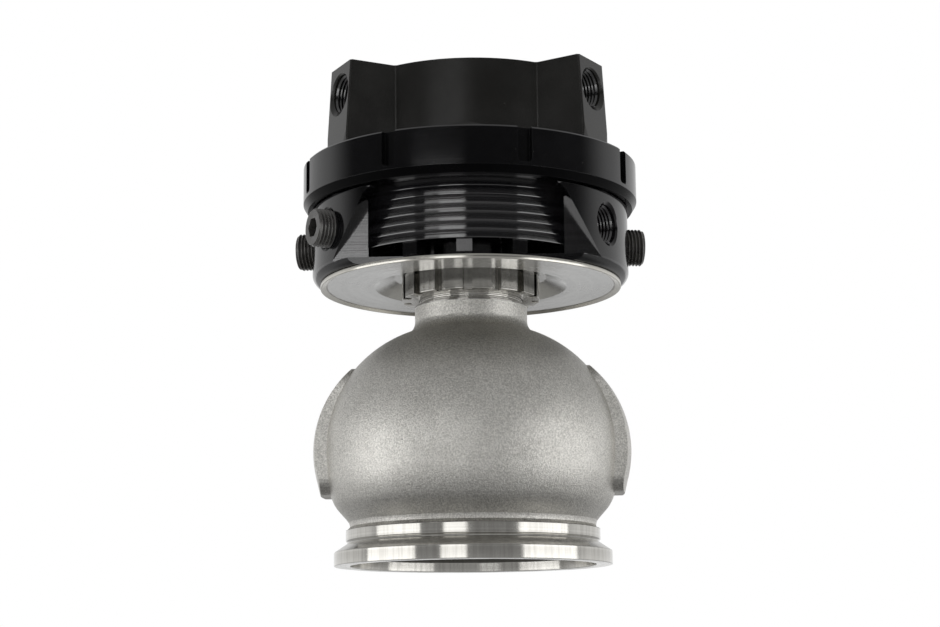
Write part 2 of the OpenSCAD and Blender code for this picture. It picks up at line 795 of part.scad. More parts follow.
module valve() {
    face_low_z = valve_face_z - valve_face_h;
    color("slategray")
        rotate_extrude() {
            difference() {
                polygon([
                    [0, face_low_z],
                    [valve_head_r - valve_face_h, face_low_z],
                    [valve_head_r, valve_face_z],
                    [valve_head_r, head_top_z],
                    [stem_r + tulip_r, tulip_z],
                    [stem_r, tulip_z + tulip_r],
                    [stem_r, lower_plate_z],
                    [stem_thread_r, lower_plate_z],
                    [stem_thread_r, stem_top_z],
                    [0, stem_top_z]
                ]);
                translate([stem_r + tulip_r, tulip_z + tulip_r]) circle(r = tulip_r);
            }
        }
}

module lower_diaphragm_plate() {
    color("lightsteelblue")
        tube(plates_r, stem_thread_r + face_gap, lower_plate_z, diaphragm_low_z);
}

module diaphragm() {
    t = diaphragm_t;
    inner_r = plates_r + diaphragm_flat_w;
    color("firebrick")
        rotate_extrude()
            polygon([
                [stem_thread_r + face_gap, diaphragm_low_z],
                [inner_r, diaphragm_low_z],
                [diaphragm_rim_r, body_top_z],
                [diaphragm_r, body_top_z],
                [diaphragm_r, diaphragm_top_z],
                [diaphragm_rim_r - t / 2, diaphragm_top_z],
                [inner_r - t / 2, diaphragm_low_z + t],
                [stem_thread_r + face_gap, diaphragm_low_z + t]
            ]);
}

module upper_diaphragm_plate() {
    color("lightsteelblue") {
        difference() {
            union() {
                translate([0, 0, upper_plate_z]) cylinder(r = plates_r, h = upper_plate_t);
                translate([0, 0, upper_plate_z])
                    cylinder(r = plate_boss_r, h = upper_plate_t + plate_boss_h);
            }
            translate([0, 0, upper_plate_z - cut]) cylinder(r = stem_thread_r + face_gap, h = far);
        }
    }
}

module stem_washer() {
    color("silver") tube(washer_r, stem_thread_r + face_gap, washer_z, nut_z);
}

module stem_nut() {
    color("gray")
        translate([0, 0, nut_z])
            difference() {
                cylinder(r = nut_af / sqrt(3), h = nut_h, $fn = 6);
                translate([0, 0, -cut]) cylinder(r = stem_thread_r + face_gap, h = far);
            }
}

// Share of a spring's free rise reached after a share of its turns: the end turns lie flat
function rise(t, turns) =
    let (dead = closed_turns / turns)
    t < dead ? 0 : t > 1 - dead ? 1 : (t - dead) / (1 - 2 * dead);

// A coil of wire between two heights, with closed ends
module coil(mean_r, wire_r, turns, low, high) {
    steps = round(turns * spring_steps);
    end_pitch = closed_pitch * wire_r;
    base = low + wire_r + spring_gap;
    top = high - wire_r - spring_gap;
    open_rise = top - base - 2 * closed_turns * end_pitch;
    centres = [
        for (i = [0 : steps])
            let (t = i / steps)
            let (turn = t * turns)
            let (low_part = min(turn, closed_turns) * end_pitch)
            let (high_part = max(0, turn - (turns - closed_turns)) * end_pitch)
            [turn * 360, base + low_part + high_part + open_rise * rise(t, turns)]
    ];
    points = [
        for (c = centres)
            for (k = [0 : spring_sides - 1])
                let (a = k * 360 / spring_sides)
                let (r = mean_r + wire_r * cos(a))
                [r * cos(c[0]), r * sin(c[0]), c[1] + wire_r * sin(a)]
    ];
    n = spring_sides;
    faces = concat(
        [[for (k = [0 : n - 1]) k]],
        [[for (k = [n - 1 : -1 : 0]) steps * n + k]],
        [
            for (i = [0 : steps - 1])
                for (k = [0 : n - 1])
                    let (m = (k + 1) % n)
                    [i * n + k, (i + 1) * n + k, (i + 1) * n + m, i * n + m]
        ]
    );
    polyhedron(points = points, faces = faces);
}

module outer_spring() {
    color("royalblue") coil(outer_spring_r, outer_wire_r, outer_turns, spring_seat_z, roof_z);
}

module inner_spring() {
    color("gold") coil(inner_spring_r, inner_wire_r, inner_turns, spring_seat_z, roof_z);
}

// Outline of the cap's core: three arcs, each facing one gap between the ears
module core_outline() {
    intersection_for (angle = [0, 120, 240])
        rotate(angle) translate([0, core_arc_shift]) circle(r = core_arc_r);
}

// The core and its three ears above the cap's base, with the ears' ends sloped
module cap_crown() {
    difference() {
        translate([0, 0, cap_base_z - cut])
            linear_extrude(height = cap_top_z - cap_base_z + cut) {
                core_outline();
                intersection() {
                    circle(r = cap_base_r);
                    for (angle = ear_angles)
                        rotate(angle) translate([-ear_half_w, -far]) square([2 * ear_half_w, far]);
                }
            }
        for (angle = ear_angles)
            at_angle(angle)
                translate([0, -ear_top_r, cap_top_z])
                    rotate([-ear_draft, 0, 0])
                        translate([-far / 2, -far, -far / 2]) cube(far);
    }
}

// The concave foot that blends the core into the cap's base
module core_foot() {
    foot_r = core_front_r + core_fillet - fillet_bite;
    foot_z = cap_base_z + core_fillet;
    rotate_extrude()
        difference() {
            translate([0, cap_base_z - cut]) square([foot_r, core_fillet + cut]);
            translate([foot_r, foot_z]) circle(r = core_fillet);
        }
}

module cap() {
    color("black")
        difference() {
            union() {
                translate([0, 0, diaphragm_top_z]) cylinder(r = cap_rim_r, h = cap_rim_t);
                translate([0, 0, diaphragm_top_z])
                    cylinder(r = cap_base_r, h = cap_base_z - diaphragm_top_z);
                cap_crown();
                core_foot();
            }
            rotate_extrude()
                polygon([
                    [0, diaphragm_top_z - cut],
                    [chamber_r, diaphragm_top_z - cut],
                    [chamber_r, diaphragm_top_z],
                    [cavity_r, cavity_shoulder_z],
                    [cavity_r, roof_z],
                    [0, roof_z]
                ]);
            for (angle = ear_angles)
                at_angle(angle)
                    port_cut(ear_mouth_r, ear_port_depth, cavity_r - cut, ear_port_z);
        }
}

module slip_ring() {
    color("ivory") tube(cap_rim_r, collar_lip_r + face_gap, cap_rim_top_z + face_gap, collar_lip_z);
}

module locking_collar() {
    bore_r = collar_thread_r + thread_play;
    color("black")
        difference() {
            rotate_extrude()
                polygon([
                    [bore_r, collar_low_z],
                    [collar_r - collar_bevel_w, collar_low_z],
                    [collar_r, collar_low_z + collar_bevel_h],
                    [collar_r, collar_top_z - collar_chamfer],
                    [collar_r - collar_chamfer, collar_top_z],
                    [collar_lip_r, collar_top_z],
                    [collar_lip_r, collar_lip_z],
                    [bore_r, collar_lip_z]
                ]);
            for (i = [0 : notch_count - 1])
                at_angle(notch_turn + i * 360 / notch_count)
                    translate([0, -collar_r + notch_depth, collar_low_z + notch_foot])
                        rotate([90, 0, 0])
                            linear_extrude(height = far)
                                rounded_rectangle(notch_w, far, notch_corner);
        }
}

valve_housing();
seat_ring();
valve_guide();
stem_seal();
heat_shield_plate();
lock_ring();
actuator_body();
stem_bush();
stem_o_ring();
body_port_plugs();
valve();
lower_diaphragm_plate();
diaphragm();
upper_diaphragm_plate();
stem_washer();
stem_nut();
outer_spring();
inner_spring();
cap();
slip_ring();
locking_collar();
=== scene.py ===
from math import cos, pi, radians, sin

import bmesh
import bpy
from mathutils import Matrix, Vector


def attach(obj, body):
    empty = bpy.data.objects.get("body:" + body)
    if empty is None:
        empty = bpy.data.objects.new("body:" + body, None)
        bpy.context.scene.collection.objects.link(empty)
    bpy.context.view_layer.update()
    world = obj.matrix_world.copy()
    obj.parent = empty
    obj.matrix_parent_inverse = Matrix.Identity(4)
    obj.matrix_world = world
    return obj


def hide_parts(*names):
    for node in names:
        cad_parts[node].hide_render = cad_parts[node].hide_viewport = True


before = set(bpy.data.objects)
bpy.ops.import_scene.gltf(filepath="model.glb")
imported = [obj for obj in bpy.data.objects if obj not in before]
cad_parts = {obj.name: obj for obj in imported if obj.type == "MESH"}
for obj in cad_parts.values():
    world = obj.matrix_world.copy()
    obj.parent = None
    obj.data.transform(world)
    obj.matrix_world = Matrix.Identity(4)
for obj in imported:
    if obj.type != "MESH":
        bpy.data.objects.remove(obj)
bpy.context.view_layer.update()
scene = bpy.context.scene
scene.view_settings.view_transform = "Standard"
mm = 0.001
up = Vector((0, 0, 1))
print("frame loaded:", len(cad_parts), "nodes")


# ---- camera and light ----
# angles go round from the front of the gate, positive to the right

cameraSetup = {
    "imageWidth": 940,
    "focalPixels": 1850.8,
    "sensorWidth": 36.0,
    "distance": 490.19,
    "height": -25.71,
    "azimuth": 2.5,
    "yaw": 0.031,
    "pitch": 10.77,
    "roll": -0.55,
}


def directionTo(azimuth, elevation=0.0):
    a, e = radians(azimuth), radians(elevation)
    return Vector((sin(a) * cos(e), -cos(a) * cos(e), sin(e)))


def makeCamera(setup):
    camera = bpy.data.objects.new("photoCamera", bpy.data.cameras.new("photoCamera"))
    camera.data.sensor_fit = "HORIZONTAL"
    camera.data.sensor_width = setup["sensorWidth"]
    camera.data.lens = setup["focalPixels"] / setup["imageWidth"] * setup["sensorWidth"]
    camera.data.clip_start = 0.01
    camera.data.clip_end = 20
    place = directionTo(setup["azimuth"]) * setup["distance"] * mm
    place.z = setup["height"] * mm
    look = -directionTo(setup["azimuth"] + setup["yaw"], -setup["pitch"])
    turn = look.to_track_quat("-Z", "Y").to_matrix().to_4x4()
    camera.matrix_world = Matrix.Translation(place) @ turn @ Matrix.Rotation(radians(setup["roll"]), 4, "Z")
    scene.collection.objects.link(camera)
    scene.camera = camera


# each softbox: angle, height of its middle, distance, width, height in metres, brightness
softboxes = {
    "leftBox": (-67.5, 0.06, 0.70, 0.60, 0.29, 1.85),
    "rightBox": (68, 0.06, 0.70, 0.67, 0.29, 1.95),
    "doorway": (-13, 0.13, 1.40, 0.51, 0.50, 1.7),
    "lintel": (-18.5, 0.40, 1.38, 0.87, 0.08, 2.6),
}
# a wide soft light for the floor alone: it leaves no highlight on the metal
floorBox = {"height": 1.6, "size": 2.4, "brightness": 0.9}


def makeAreaLight(name, width, height, brightness, place, aim):
    light = bpy.data.lights.new(name, "AREA")
    light.shape = "RECTANGLE"
    light.size = width
    light.size_y = height
    light.energy = brightness * pi * width * height
    lamp = bpy.data.objects.new(name, light)
    turn = (aim - place).to_track_quat("-Z", "Y").to_matrix().to_4x4()
    lamp.matrix_world = Matrix.Translation(place) @ turn
    lamp.visible_camera = False
    scene.collection.objects.link(lamp)
    return lamp


def makeLights():
    for name, (azimuth, middle, distance, width, height, brightness) in softboxes.items():
        place = directionTo(azimuth) * distance
        place.z = middle
        makeAreaLight(name, width, height, brightness, place, Vector((0, 0, middle)))
    size, place = floorBox["size"], Vector((0, 0.01, floorBox["height"]))
    lamp = makeAreaLight("floorBox", size, size, floorBox["brightness"], place, Vector((0, 0, 0)))
    lamp.visible_glossy = False


roomTones = {
    "frontLow": 0.40,
    "frontHigh": 0.045,
    "backLow": 1.0,
    "backHigh": 0.75,
    "ceiling": 0.42,
    "frontBelow": 0.50,
    "backBelow": 0.50,
    "underneath": 0.17,
    "backdrop": 1.0,
}
# where one tone of the room runs into the next, as parts of a direction one long
roomEdges = {
    "wall": (0.07, 0.20),
    "around": (-0.15, 0.35),
    "ceiling": (0.32, 0.44),
    "horizon": (-0.02, -0.12),
    "underneath": (-0.38, -0.68),
}


def makeRoom():
    world = bpy.data.worlds.new("studio")
    scene.world = world
    world.use_nodes = True
    tree = world.node_tree
    tree.nodes.clear()
    way = tree.nodes.new("ShaderNodeTexCoord")
    split = tree.nodes.new("ShaderNodeSeparateXYZ")
    tree.links.new(way.outputs["Generated"], split.inputs[0])

    def ramp(source, low, high, toLow, toHigh):
        node = tree.nodes.new("ShaderNodeMapRange")
        node.interpolation_type = "SMOOTHSTEP"
        for socket, value in zip(("From Min", "From Max", "To Min", "To Max"), (low, high, toLow, toHigh)):
            if isinstance(value, float):
                node.inputs[socket].default_value = value
            else:
                tree.links.new(value, node.inputs[socket])
        tree.links.new(source, node.inputs["Value"])
        return node.outputs[0]

    def blend(factor, first, second):
        node = tree.nodes.new("ShaderNodeMix")
        node.data_type = "FLOAT"
        tree.links.new(factor, node.inputs[0])
        for socket, value in ((node.inputs[2], first), (node.inputs[3], second)):
            if isinstance(value, float):
                socket.default_value = value
            else:
                tree.links.new(value, socket)
        return node.outputs[0]

    depth, height = split.outputs[1], split.outputs[2]
    front = ramp(height, *roomEdges["wall"], roomTones["frontLow"], roomTones["frontHigh"])
    back = ramp(height, *roomEdges["wall"], roomTones["backLow"], roomTones["backHigh"])
    around = ramp(depth, *roomEdges["around"], front, back)
    upper = blend(ramp(height, *roomEdges["ceiling"], 0.0, 1.0), around, roomTones["ceiling"])
    below = ramp(depth, *roomEdges["around"], roomTones["frontBelow"], roomTones["backBelow"])
    lower = blend(ramp(height, *roomEdges["underneath"], 0.0, 1.0), below, roomTones["underneath"])
    whole = blend(ramp(height, *roomEdges["horizon"], 0.0, 1.0), upper, lower)
    seen = tree.nodes.new("ShaderNodeLightPath")
    final = blend(seen.outputs["Is Camera Ray"], whole, roomTones["backdrop"])
    glow = tree.nodes.new("ShaderNodeBackground")
    glow.inputs["Color"].default_value = (1.0, 1.0, 1.0, 1.0)
    out = tree.nodes.new("ShaderNodeOutputWorld")
    tree.links.new(final, glow.inputs["Strength"])
    tree.links.new(glow.outputs[0], out.inputs[0])


makeCamera(cameraSetup)
makeLights()
makeRoom()
print("camera, lights and room are set")


# ---- shader tools ----

def addNode(tree, kind, settings=None, **sockets):
    node = tree.nodes.new(kind)
    for key, value in (settings or {}).items():
        setattr(node, key, value)
    for key, value in sockets.items():
        name = key.replace("_", " ")
        if isinstance(value, bpy.types.NodeSocket):
            tree.links.new(value, node.inputs[name])
        else:
            node.inputs[name].default_value = value
    return node


def maths(tree, operation, first, second=0.0, clamp=False):
    node = tree.nodes.new("ShaderNodeMath")
    node.operation = operation
    node.use_clamp = clamp
    for socket, value in zip(node.inputs, (first, second)):
        if isinstance(value, bpy.types.NodeSocket):
            tree.links.new(value, socket)
        else:
            socket.default_value = value
    return node.outputs[0]


def mapped(tree, value, low, high, toLow, toHigh, kind="SMOOTHSTEP"):
    node = addNode(tree, "ShaderNodeMapRange", {"interpolation_type": kind})
    tree.links.new(value, node.inputs["Value"])
    for socket, amount in zip(("From Min", "From Max", "To Min", "To Max"), (low, high, toLow, toHigh)):
        if isinstance(amount, bpy.types.NodeSocket):
            tree.links.new(amount, node.inputs[socket])
        else:
            node.inputs[socket].default_value = amount
    return node.outputs[0]


def mixColours(tree, factor, first, second):
    node = tree.nodes.new("ShaderNodeMix")
    node.data_type = "RGBA"
    tree.links.new(factor, node.inputs[0])
    for socket, value in ((node.inputs[6], first), (node.inputs[7], second)):
        if isinstance(value, bpy.types.NodeSocket):
            tree.links.new(value, socket)
        else:
            socket.default_value = (*value, 1.0)
    return node.outputs[2]


def newGroup(name, inputs, outputs):
    tree = bpy.data.node_groups.new(name, "ShaderNodeTree")
    for label, value in inputs.items():
        kind = "NodeSocketVector" if value is None else "NodeSocketFloat"
        socket = tree.interface.new_socket(name=label, in_out="INPUT", socket_type=kind)
        if value is not None:
            socket.default_value = value
    for label in outputs:
        tree.interface.new_socket(name=label, in_out="OUTPUT", socket_type="NodeSocketFloat")
    return tree, tree.nodes.new("NodeGroupInput"), tree.nodes.new("NodeGroupOutput")


def useGroup(tree, group, **sockets):
    node = tree.nodes.new("ShaderNodeGroup")
    node.node_tree = group
    for key, value in sockets.items():
        if isinstance(value, bpy.types.NodeSocket):
            tree.links.new(value, node.inputs[key])
        else:
            node.inputs[key].default_value = value
    return node


def noise(tree, vector, scale, detail=3.0, rough=0.5):
    node = addNode(tree, "ShaderNodeTexNoise", Detail=detail, Roughness=rough)
    for name, value in (("Vector", vector), ("Scale", scale)):
        if isinstance(value, bpy.types.NodeSocket):
            tree.links.new(value, node.inputs[name])
        else:
            node.inputs[name].default_value = value
    return node.outputs["Fac"]


# how far a point stands from the Z axis, and how high it is
def aboutAxis(tree, place):
    split = addNode(tree, "ShaderNodeSeparateXYZ")
    tree.links.new(place, split.inputs[0])
    squares = [maths(tree, "POWER", split.outputs[i], 2.0) for i in (0, 1)]
    return maths(tree, "SQRT", maths(tree, "ADD", *squares)), split.outputs[2]


# noise along one line, for lines left by a cutter
def lineNoise(tree, along, density, detail):
    node = addNode(tree, "ShaderNodeTexNoise", {"noise_dimensions": "1D"}, Scale=1.0, Detail=detail)
    tree.links.new(maths(tree, "MULTIPLY", along, density), node.inputs["W"])
    return node.outputs["Fac"]


# the blasted skin of an investment casting: grains that run together, with a few pits
def buildCastSkin():
    tree, start, end = newGroup("castSkin", {"Place": None, "Grain": 1500.0}, ["Height", "Pits", "Mottle"])
    place, grain = start.outputs["Place"], start.outputs["Grain"]
    coarse = noise(tree, place, maths(tree, "MULTIPLY", grain, 0.45), 2.0, 0.55)
    fine = noise(tree, place, grain, 3.0, 0.6)
    cells = addNode(tree, "ShaderNodeTexVoronoi", {"feature": "SMOOTH_F1"}, Smoothness=0.6)
    tree.links.new(place, cells.inputs["Vector"])
    tree.links.new(maths(tree, "MULTIPLY", grain, 0.8), cells.inputs["Scale"])
    body = maths(tree, "ADD", maths(tree, "MULTIPLY", coarse, 0.9), maths(tree, "MULTIPLY", fine, 0.7))
    height = maths(tree, "ADD", body, maths(tree, "MULTIPLY", cells.outputs["Distance"], 0.5))
    sparse = noise(tree, place, maths(tree, "MULTIPLY", grain, 0.16), 1.0, 0.4)
    pits = mapped(tree, sparse, 0.80, 0.86, 0.0, 1.0)
    mottle = noise(tree, place, 55.0, 4.0, 0.6)
    pitted = maths(tree, "SUBTRACT", height, maths(tree, "MULTIPLY", pits, 0.8))
    tree.links.new(pitted, end.inputs["Height"])
    tree.links.new(pits, end.inputs["Pits"])
    tree.links.new(mottle, end.inputs["Mottle"])
    return tree


# tool lines left by turning about the piece's own Z axis, on walls and faces alike
def buildTurningLines():
    tree, start, end = newGroup(
        "turningLines", {"Place": None, "Lines": 3000.0}, ["Height", "Band", "Streak"])
    radius, height = aboutAxis(tree, start.outputs["Place"])
    along = maths(tree, "ADD", radius, maths(tree, "MULTIPLY", height, 1.31))
    tall = addNode(tree, "ShaderNodeVectorMath", {"operation": "MULTIPLY"})
    tree.links.new(start.outputs["Place"], tall.inputs[0])
    tall.inputs[1].default_value = (1.0, 1.0, 0.06)
    tree.links.new(noise(tree, tall.outputs[0], 850.0, 3.0, 0.6), end.inputs["Streak"])
    tree.links.new(lineNoise(tree, along, start.outputs["Lines"], 2.0), end.inputs["Height"])
    tree.links.new(lineNoise(tree, along, 420.0, 3.0), end.inputs["Band"])
    return tree


# lines left by a cutter that steps down a wall
def buildMillingLines():
    tree, start, end = newGroup("millingLines", {"Place": None, "Lines": 1700.0}, ["Height", "Band"])
    split = addNode(tree, "ShaderNodeSeparateXYZ")
    tree.links.new(start.outputs["Place"], split.inputs[0])
    drift = noise(tree, start.outputs["Place"], 90.0, 2.0, 0.5)
    height = maths(tree, "ADD", split.outputs[2], maths(tree, "MULTIPLY", drift, 0.0002))
    tree.links.new(lineNoise(tree, height, start.outputs["Lines"], 1.0), end.inputs["Height"])
    tree.links.new(lineNoise(tree, height, 500.0, 3.0), end.inputs["Band"])
    return tree


# smears from handling, and a little dust
def buildHandling():
    tree, start, end = newGroup("handling", {"Place": None, "Size": 60.0}, ["Smear", "Dust"])
    place = start.outputs["Place"]
    soft = noise(tree, place, start.outputs["Size"], 5.0, 0.62)
    tree.links.new(mapped(tree, soft, 0.35, 0.7, 0.0, 1.0), end.inputs["Smear"])
    specks = addNode(tree, "ShaderNodeTexVoronoi", {"feature": "F1"}, Scale=420.0)
    tree.links.new(place, specks.inputs["Vector"])
    sparse = mapped(tree, noise(tree, place, 130.0, 2.0, 0.5), 0.56, 0.66, 0.0, 1.0)
    dots = mapped(tree, specks.outputs["Distance"], 0.05, 0.09, 1.0, 0.0)
    tree.links.new(maths(tree, "MULTIPLY", dots, sparse), end.inputs["Dust"])
    return tree


# an edge mask, for rubbed edges and for painted edge highlights: the rounded normal leaves the true one
# near edges
def buildEdgeWearAndSheen():
    tree, start, end = newGroup("edgeWearAndSheen", {"Place": None, "Reach": 0.0004, "Patches": 260.0}, ["Mask"])
    rounded = addNode(tree, "ShaderNodeBevel", {"samples": 4})
    tree.links.new(start.outputs["Reach"], rounded.inputs["Radius"])
    true = addNode(tree, "ShaderNodeNewGeometry")
    dot = addNode(tree, "ShaderNodeVectorMath", {"operation": "DOT_PRODUCT"})
    tree.links.new(rounded.outputs[0], dot.inputs[0])
    tree.links.new(true.outputs["Normal"], dot.inputs[1])
    edge = mapped(tree, dot.outputs["Value"], 0.985, 0.90, 0.0, 1.0)
    patches = noise(tree, start.outputs["Place"], start.outputs["Patches"], 3.0, 0.6)
    patchy = mapped(tree, patches, 0.35, 0.6, 0.25, 1.0)
    tree.links.new(maths(tree, "MULTIPLY", edge, patchy), end.inputs["Mask"])
    return tree


castSkin = buildCastSkin()
turningLines = buildTurningLines()
millingLines = buildMillingLines()
handling = buildHandling()
edgeWearAndSheen = buildEdgeWearAndSheen()


def newMaterial(name):
    material = bpy.data.materials.new(name)
    material.use_nodes = True
    tree = material.node_tree
    shader = tree.nodes["Principled BSDF"]
    place = addNode(tree, "ShaderNodeTexCoord").outputs["Object"]
    return material, tree, shader, place


def bumped(tree, shader, height, depth, strength=1.0, normal=None):
    node = addNode(tree, "ShaderNodeBump", Strength=strength, Distance=depth)
    tree.links.new(height, node.inputs["Height"])
    if normal is not None:
        tree.links.new(normal, node.inputs["Normal"])
    tree.links.new(node.outputs[0], shader.inputs["Normal"])
    return node.outputs[0]


def makeCastSteel(name, light=(0.86, 0.845, 0.80), dark=(0.42, 0.41, 0.385)):
    material, tree, shader, place = newMaterial(name)
    skin = useGroup(tree, castSkin, Place=place, Grain=4800.0)
    grains = mapped(tree, skin.outputs["Height"], 0.75, 1.35, 0.0, 0.8)
    tone = maths(tree, "ADD", grains, mapped(tree, skin.outputs["Mottle"], 0.3, 0.7, 0.0, 0.2))
    worked = mixColours(tree, tone, dark, light)
    pitted = mixColours(tree, skin.outputs["Pits"], worked, (0.16, 0.15, 0.135))
    tree.links.new(pitted, shader.inputs["Base Color"])
    shader.inputs["Metallic"].default_value = 1.0
    tree.links.new(mapped(tree, skin.outputs["Mottle"], 0.3, 0.7, 0.47, 0.40), shader.inputs["Roughness"])
    bumped(tree, shader, skin.outputs["Height"], 0.00009, 0.9)
    return material


def makeTurnedMetal(name, colour, deep, smooth, depth=0.000004, lines=3000.0, spread=0.6):
    material, tree, shader, place = newMaterial(name)
    cut = useGroup(tree, turningLines, Place=place, Lines=lines)
    touch = useGroup(tree, handling, Place=place, Size=70.0)
    tone = mapped(tree, cut.outputs["Band"], 0.3, 0.7, 0.0, 0.5)
    streaky = mapped(tree, cut.outputs["Streak"], 0.35, 0.6, 0.0, 0.5)
    worked = mixColours(tree, maths(tree, "ADD", tone, streaky), deep, colour)
    tree.links.new(worked, shader.inputs["Base Color"])
    shader.inputs["Metallic"].default_value = 1.0
    shader.inputs["Anisotropic"].default_value = spread
    shader.inputs["Anisotropic Rotation"].default_value = 0.25
    around = addNode(tree, "ShaderNodeTangent", {"direction_type": "RADIAL", "axis": "Z"})
    tree.links.new(around.outputs[0], shader.inputs["Tangent"])
    smear = maths(tree, "MULTIPLY", touch.outputs["Smear"], 0.07)
    grit = maths(tree, "MULTIPLY", cut.outputs["Height"], 0.06)
    tree.links.new(maths(tree, "ADD", maths(tree, "ADD", smear, grit), smooth), shader.inputs["Roughness"])
    bumped(tree, shader, cut.outputs["Height"], depth, 1.0)
    return material


# painted shade in a fold that runs round at one radius, and a darker lip outside it
def paintFoldShade(material, radius, width, foldShade, lip):
    tree = material.node_tree
    shader = tree.nodes["Principled BSDF"]
    clean = shader.inputs["Base Color"].links[0].from_socket
    place = addNode(tree, "ShaderNodeTexCoord").outputs["Object"]
    beyond = maths(tree, "SUBTRACT", aboutAxis(tree, place)[0], radius * mm)
    line = mapped(tree, maths(tree, "ABSOLUTE", beyond), 0.0, width * mm, 1.0, 0.0)
    patchy = mapped(tree, noise(tree, place, 160.0, 3.0, 0.6), 0.3, 0.6, 0.5, 1.0)
    darkLip = mixColours(tree, mapped(tree, beyond, 0.0, 0.0002, 0.0, 1.0), clean, lip)
    # the line along the fold is painted shade
    foldShaded = mixColours(tree, maths(tree, "MULTIPLY", line, patchy), darkLip, foldShade)
    tree.links.new(foldShaded, shader.inputs["Base Color"])


def makeBlackAnodise(name, base=(0.0028, 0.0028, 0.0032), smooth=0.08, gloss=1.52):
    material, tree, shader, place = newMaterial(name)
    cut = useGroup(tree, turningLines, Place=place, Lines=3800.0)
    touch = useGroup(tree, handling, Place=place, Size=48.0)
    edgeMask = useGroup(tree, edgeWearAndSheen, Place=place)
    lifted = tuple(c * 1.5 + 0.0008 for c in base)
    dyed = mixColours(tree, touch.outputs["Smear"], base, lifted)
    dusty = mixColours(tree, maths(tree, "MULTIPLY", touch.outputs["Dust"], 0.35), dyed, (0.10, 0.10, 0.09))
    # edges lifted towards grey: edge wear and a painted edge highlight
    edgeLift = maths(tree, "MULTIPLY", edgeMask.outputs["Mask"], 0.05)
    tree.links.new(mixColours(tree, edgeLift, dusty, (0.20, 0.20, 0.21)), shader.inputs["Base Color"])
    shader.inputs["IOR"].default_value = gloss
    smear = maths(tree, "MULTIPLY", touch.outputs["Smear"], 0.04)
    tree.links.new(maths(tree, "ADD", smear, smooth), shader.inputs["Roughness"])
    bumped(tree, shader, cut.outputs["Height"], 0.0000022, 1.0)
    return material


def makeMilledAnodise(name):
    material, tree, shader, place = newMaterial(name)
    cut = useGroup(tree, millingLines, Place=place, Lines=3200.0)
    touch = useGroup(tree, handling, Place=place, Size=60.0)
    tone = mapped(tree, cut.outputs["Band"], 0.35, 0.65, 0.0, 1.0)
    dyed = mixColours(tree, tone, (0.003, 0.003, 0.0036), (0.010, 0.010, 0.011))
    tree.links.new(dyed, shader.inputs["Base Color"])
    shader.inputs["IOR"].default_value = 1.9
    shader.inputs["Anisotropic"].default_value = 0.8
    shader.inputs["Anisotropic Rotation"].default_value = 0.25
    around = addNode(tree, "ShaderNodeTangent", {"direction_type": "RADIAL", "axis": "Z"})
    tree.links.new(around.outputs[0], shader.inputs["Tangent"])
    smear = maths(tree, "MULTIPLY", touch.outputs["Smear"], 0.03)
    tree.links.new(maths(tree, "ADD", smear, 0.10), shader.inputs["Roughness"])
    bumped(tree, shader, cut.outputs["Height"], 0.000008, 1.0)
    return material


def makeOxideSteel(name):
    material, tree, shader, place = newMaterial(name)
    touch = useGroup(tree, handling, Place=place, Size=220.0)
    edgeMask = useGroup(tree, edgeWearAndSheen, Place=place, Reach=0.0002, Patches=700.0)
    oiled = mixColours(tree, touch.outputs["Smear"], (0.034, 0.032, 0.030), (0.070, 0.067, 0.062))
    edgeLift = maths(tree, "MULTIPLY", edgeMask.outputs["Mask"], 0.7)
    tree.links.new(mixColours(tree, edgeLift, oiled, (0.30, 0.29, 0.275)), shader.inputs["Base Color"])
    shader.inputs["Metallic"].default_value = 0.35
    shader.inputs["IOR"].default_value = 1.9
    tree.links.new(mapped(tree, touch.outputs["Smear"], 0.0, 1.0, 0.27, 0.42), shader.inputs["Roughness"])
    bumped(tree, shader, noise(tree, place, 3500.0, 2.0, 0.6), 0.00001, 0.6)
    return material


def makeSoftSolid(name, base, other, rough, grain, depth):
    material, tree, shader, place = newMaterial(name)
    mottle = noise(tree, place, grain * 0.15, 4.0, 0.6)
    tone = mapped(tree, mottle, 0.3, 0.7, 0.0, 1.0)
    tree.links.new(mixColours(tree, tone, base, other), shader.inputs["Base Color"])
    tree.links.new(mapped(tree, mottle, 0.3, 0.7, rough, rough + 0.12), shader.inputs["Roughness"])
    bumped(tree, shader, noise(tree, place, grain, 3.0, 0.6), depth, 0.7)
    return material


# silicone on a woven cloth: two sets of threads show faintly through the coat
def makeCoatedCloth(name):
    material, tree, shader, place = newMaterial(name)
    split = addNode(tree, "ShaderNodeSeparateXYZ")
    tree.links.new(place, split.inputs[0])
    threads = [maths(tree, "SINE", maths(tree, "MULTIPLY", split.outputs[i], 5200.0)) for i in (0, 1)]
    weave = maths(tree, "MAXIMUM", threads[0], threads[1])
    mottle = noise(tree, place, 90.0, 4.0, 0.6)
    coat = mixColours(tree, mottle, (0.20, 0.035, 0.02), (0.33, 0.07, 0.04))
    tree.links.new(coat, shader.inputs["Base Color"])
    tree.links.new(mapped(tree, weave, -1.0, 1.0, 0.62, 0.45), shader.inputs["Roughness"])
    bumped(tree, shader, weave, 0.00006, 0.6)
    return material


# ground alloy that has seen heat: a straw tint low on the stem that fades higher up
def makeValveAlloy(name):
    material, tree, shader, place = newMaterial(name)
    cut = useGroup(tree, turningLines, Place=place, Lines=2600.0)
    split = addNode(tree, "ShaderNodeSeparateXYZ")
    tree.links.new(place, split.inputs[0])
    heat = mapped(tree, split.outputs[2], 0.012, 0.07, 1.0, 0.0)
    warm = mixColours(tree, heat, (0.50, 0.49, 0.47), (0.42, 0.36, 0.29))
    tree.links.new(warm, shader.inputs["Base Color"])
    shader.inputs["Metallic"].default_value = 1.0
    tree.links.new(mapped(tree, cut.outputs["Band"], 0.3, 0.7, 0.24, 0.34), shader.inputs["Roughness"])
    bumped(tree, shader, cut.outputs["Height"], 0.000006, 1.0)
    return material


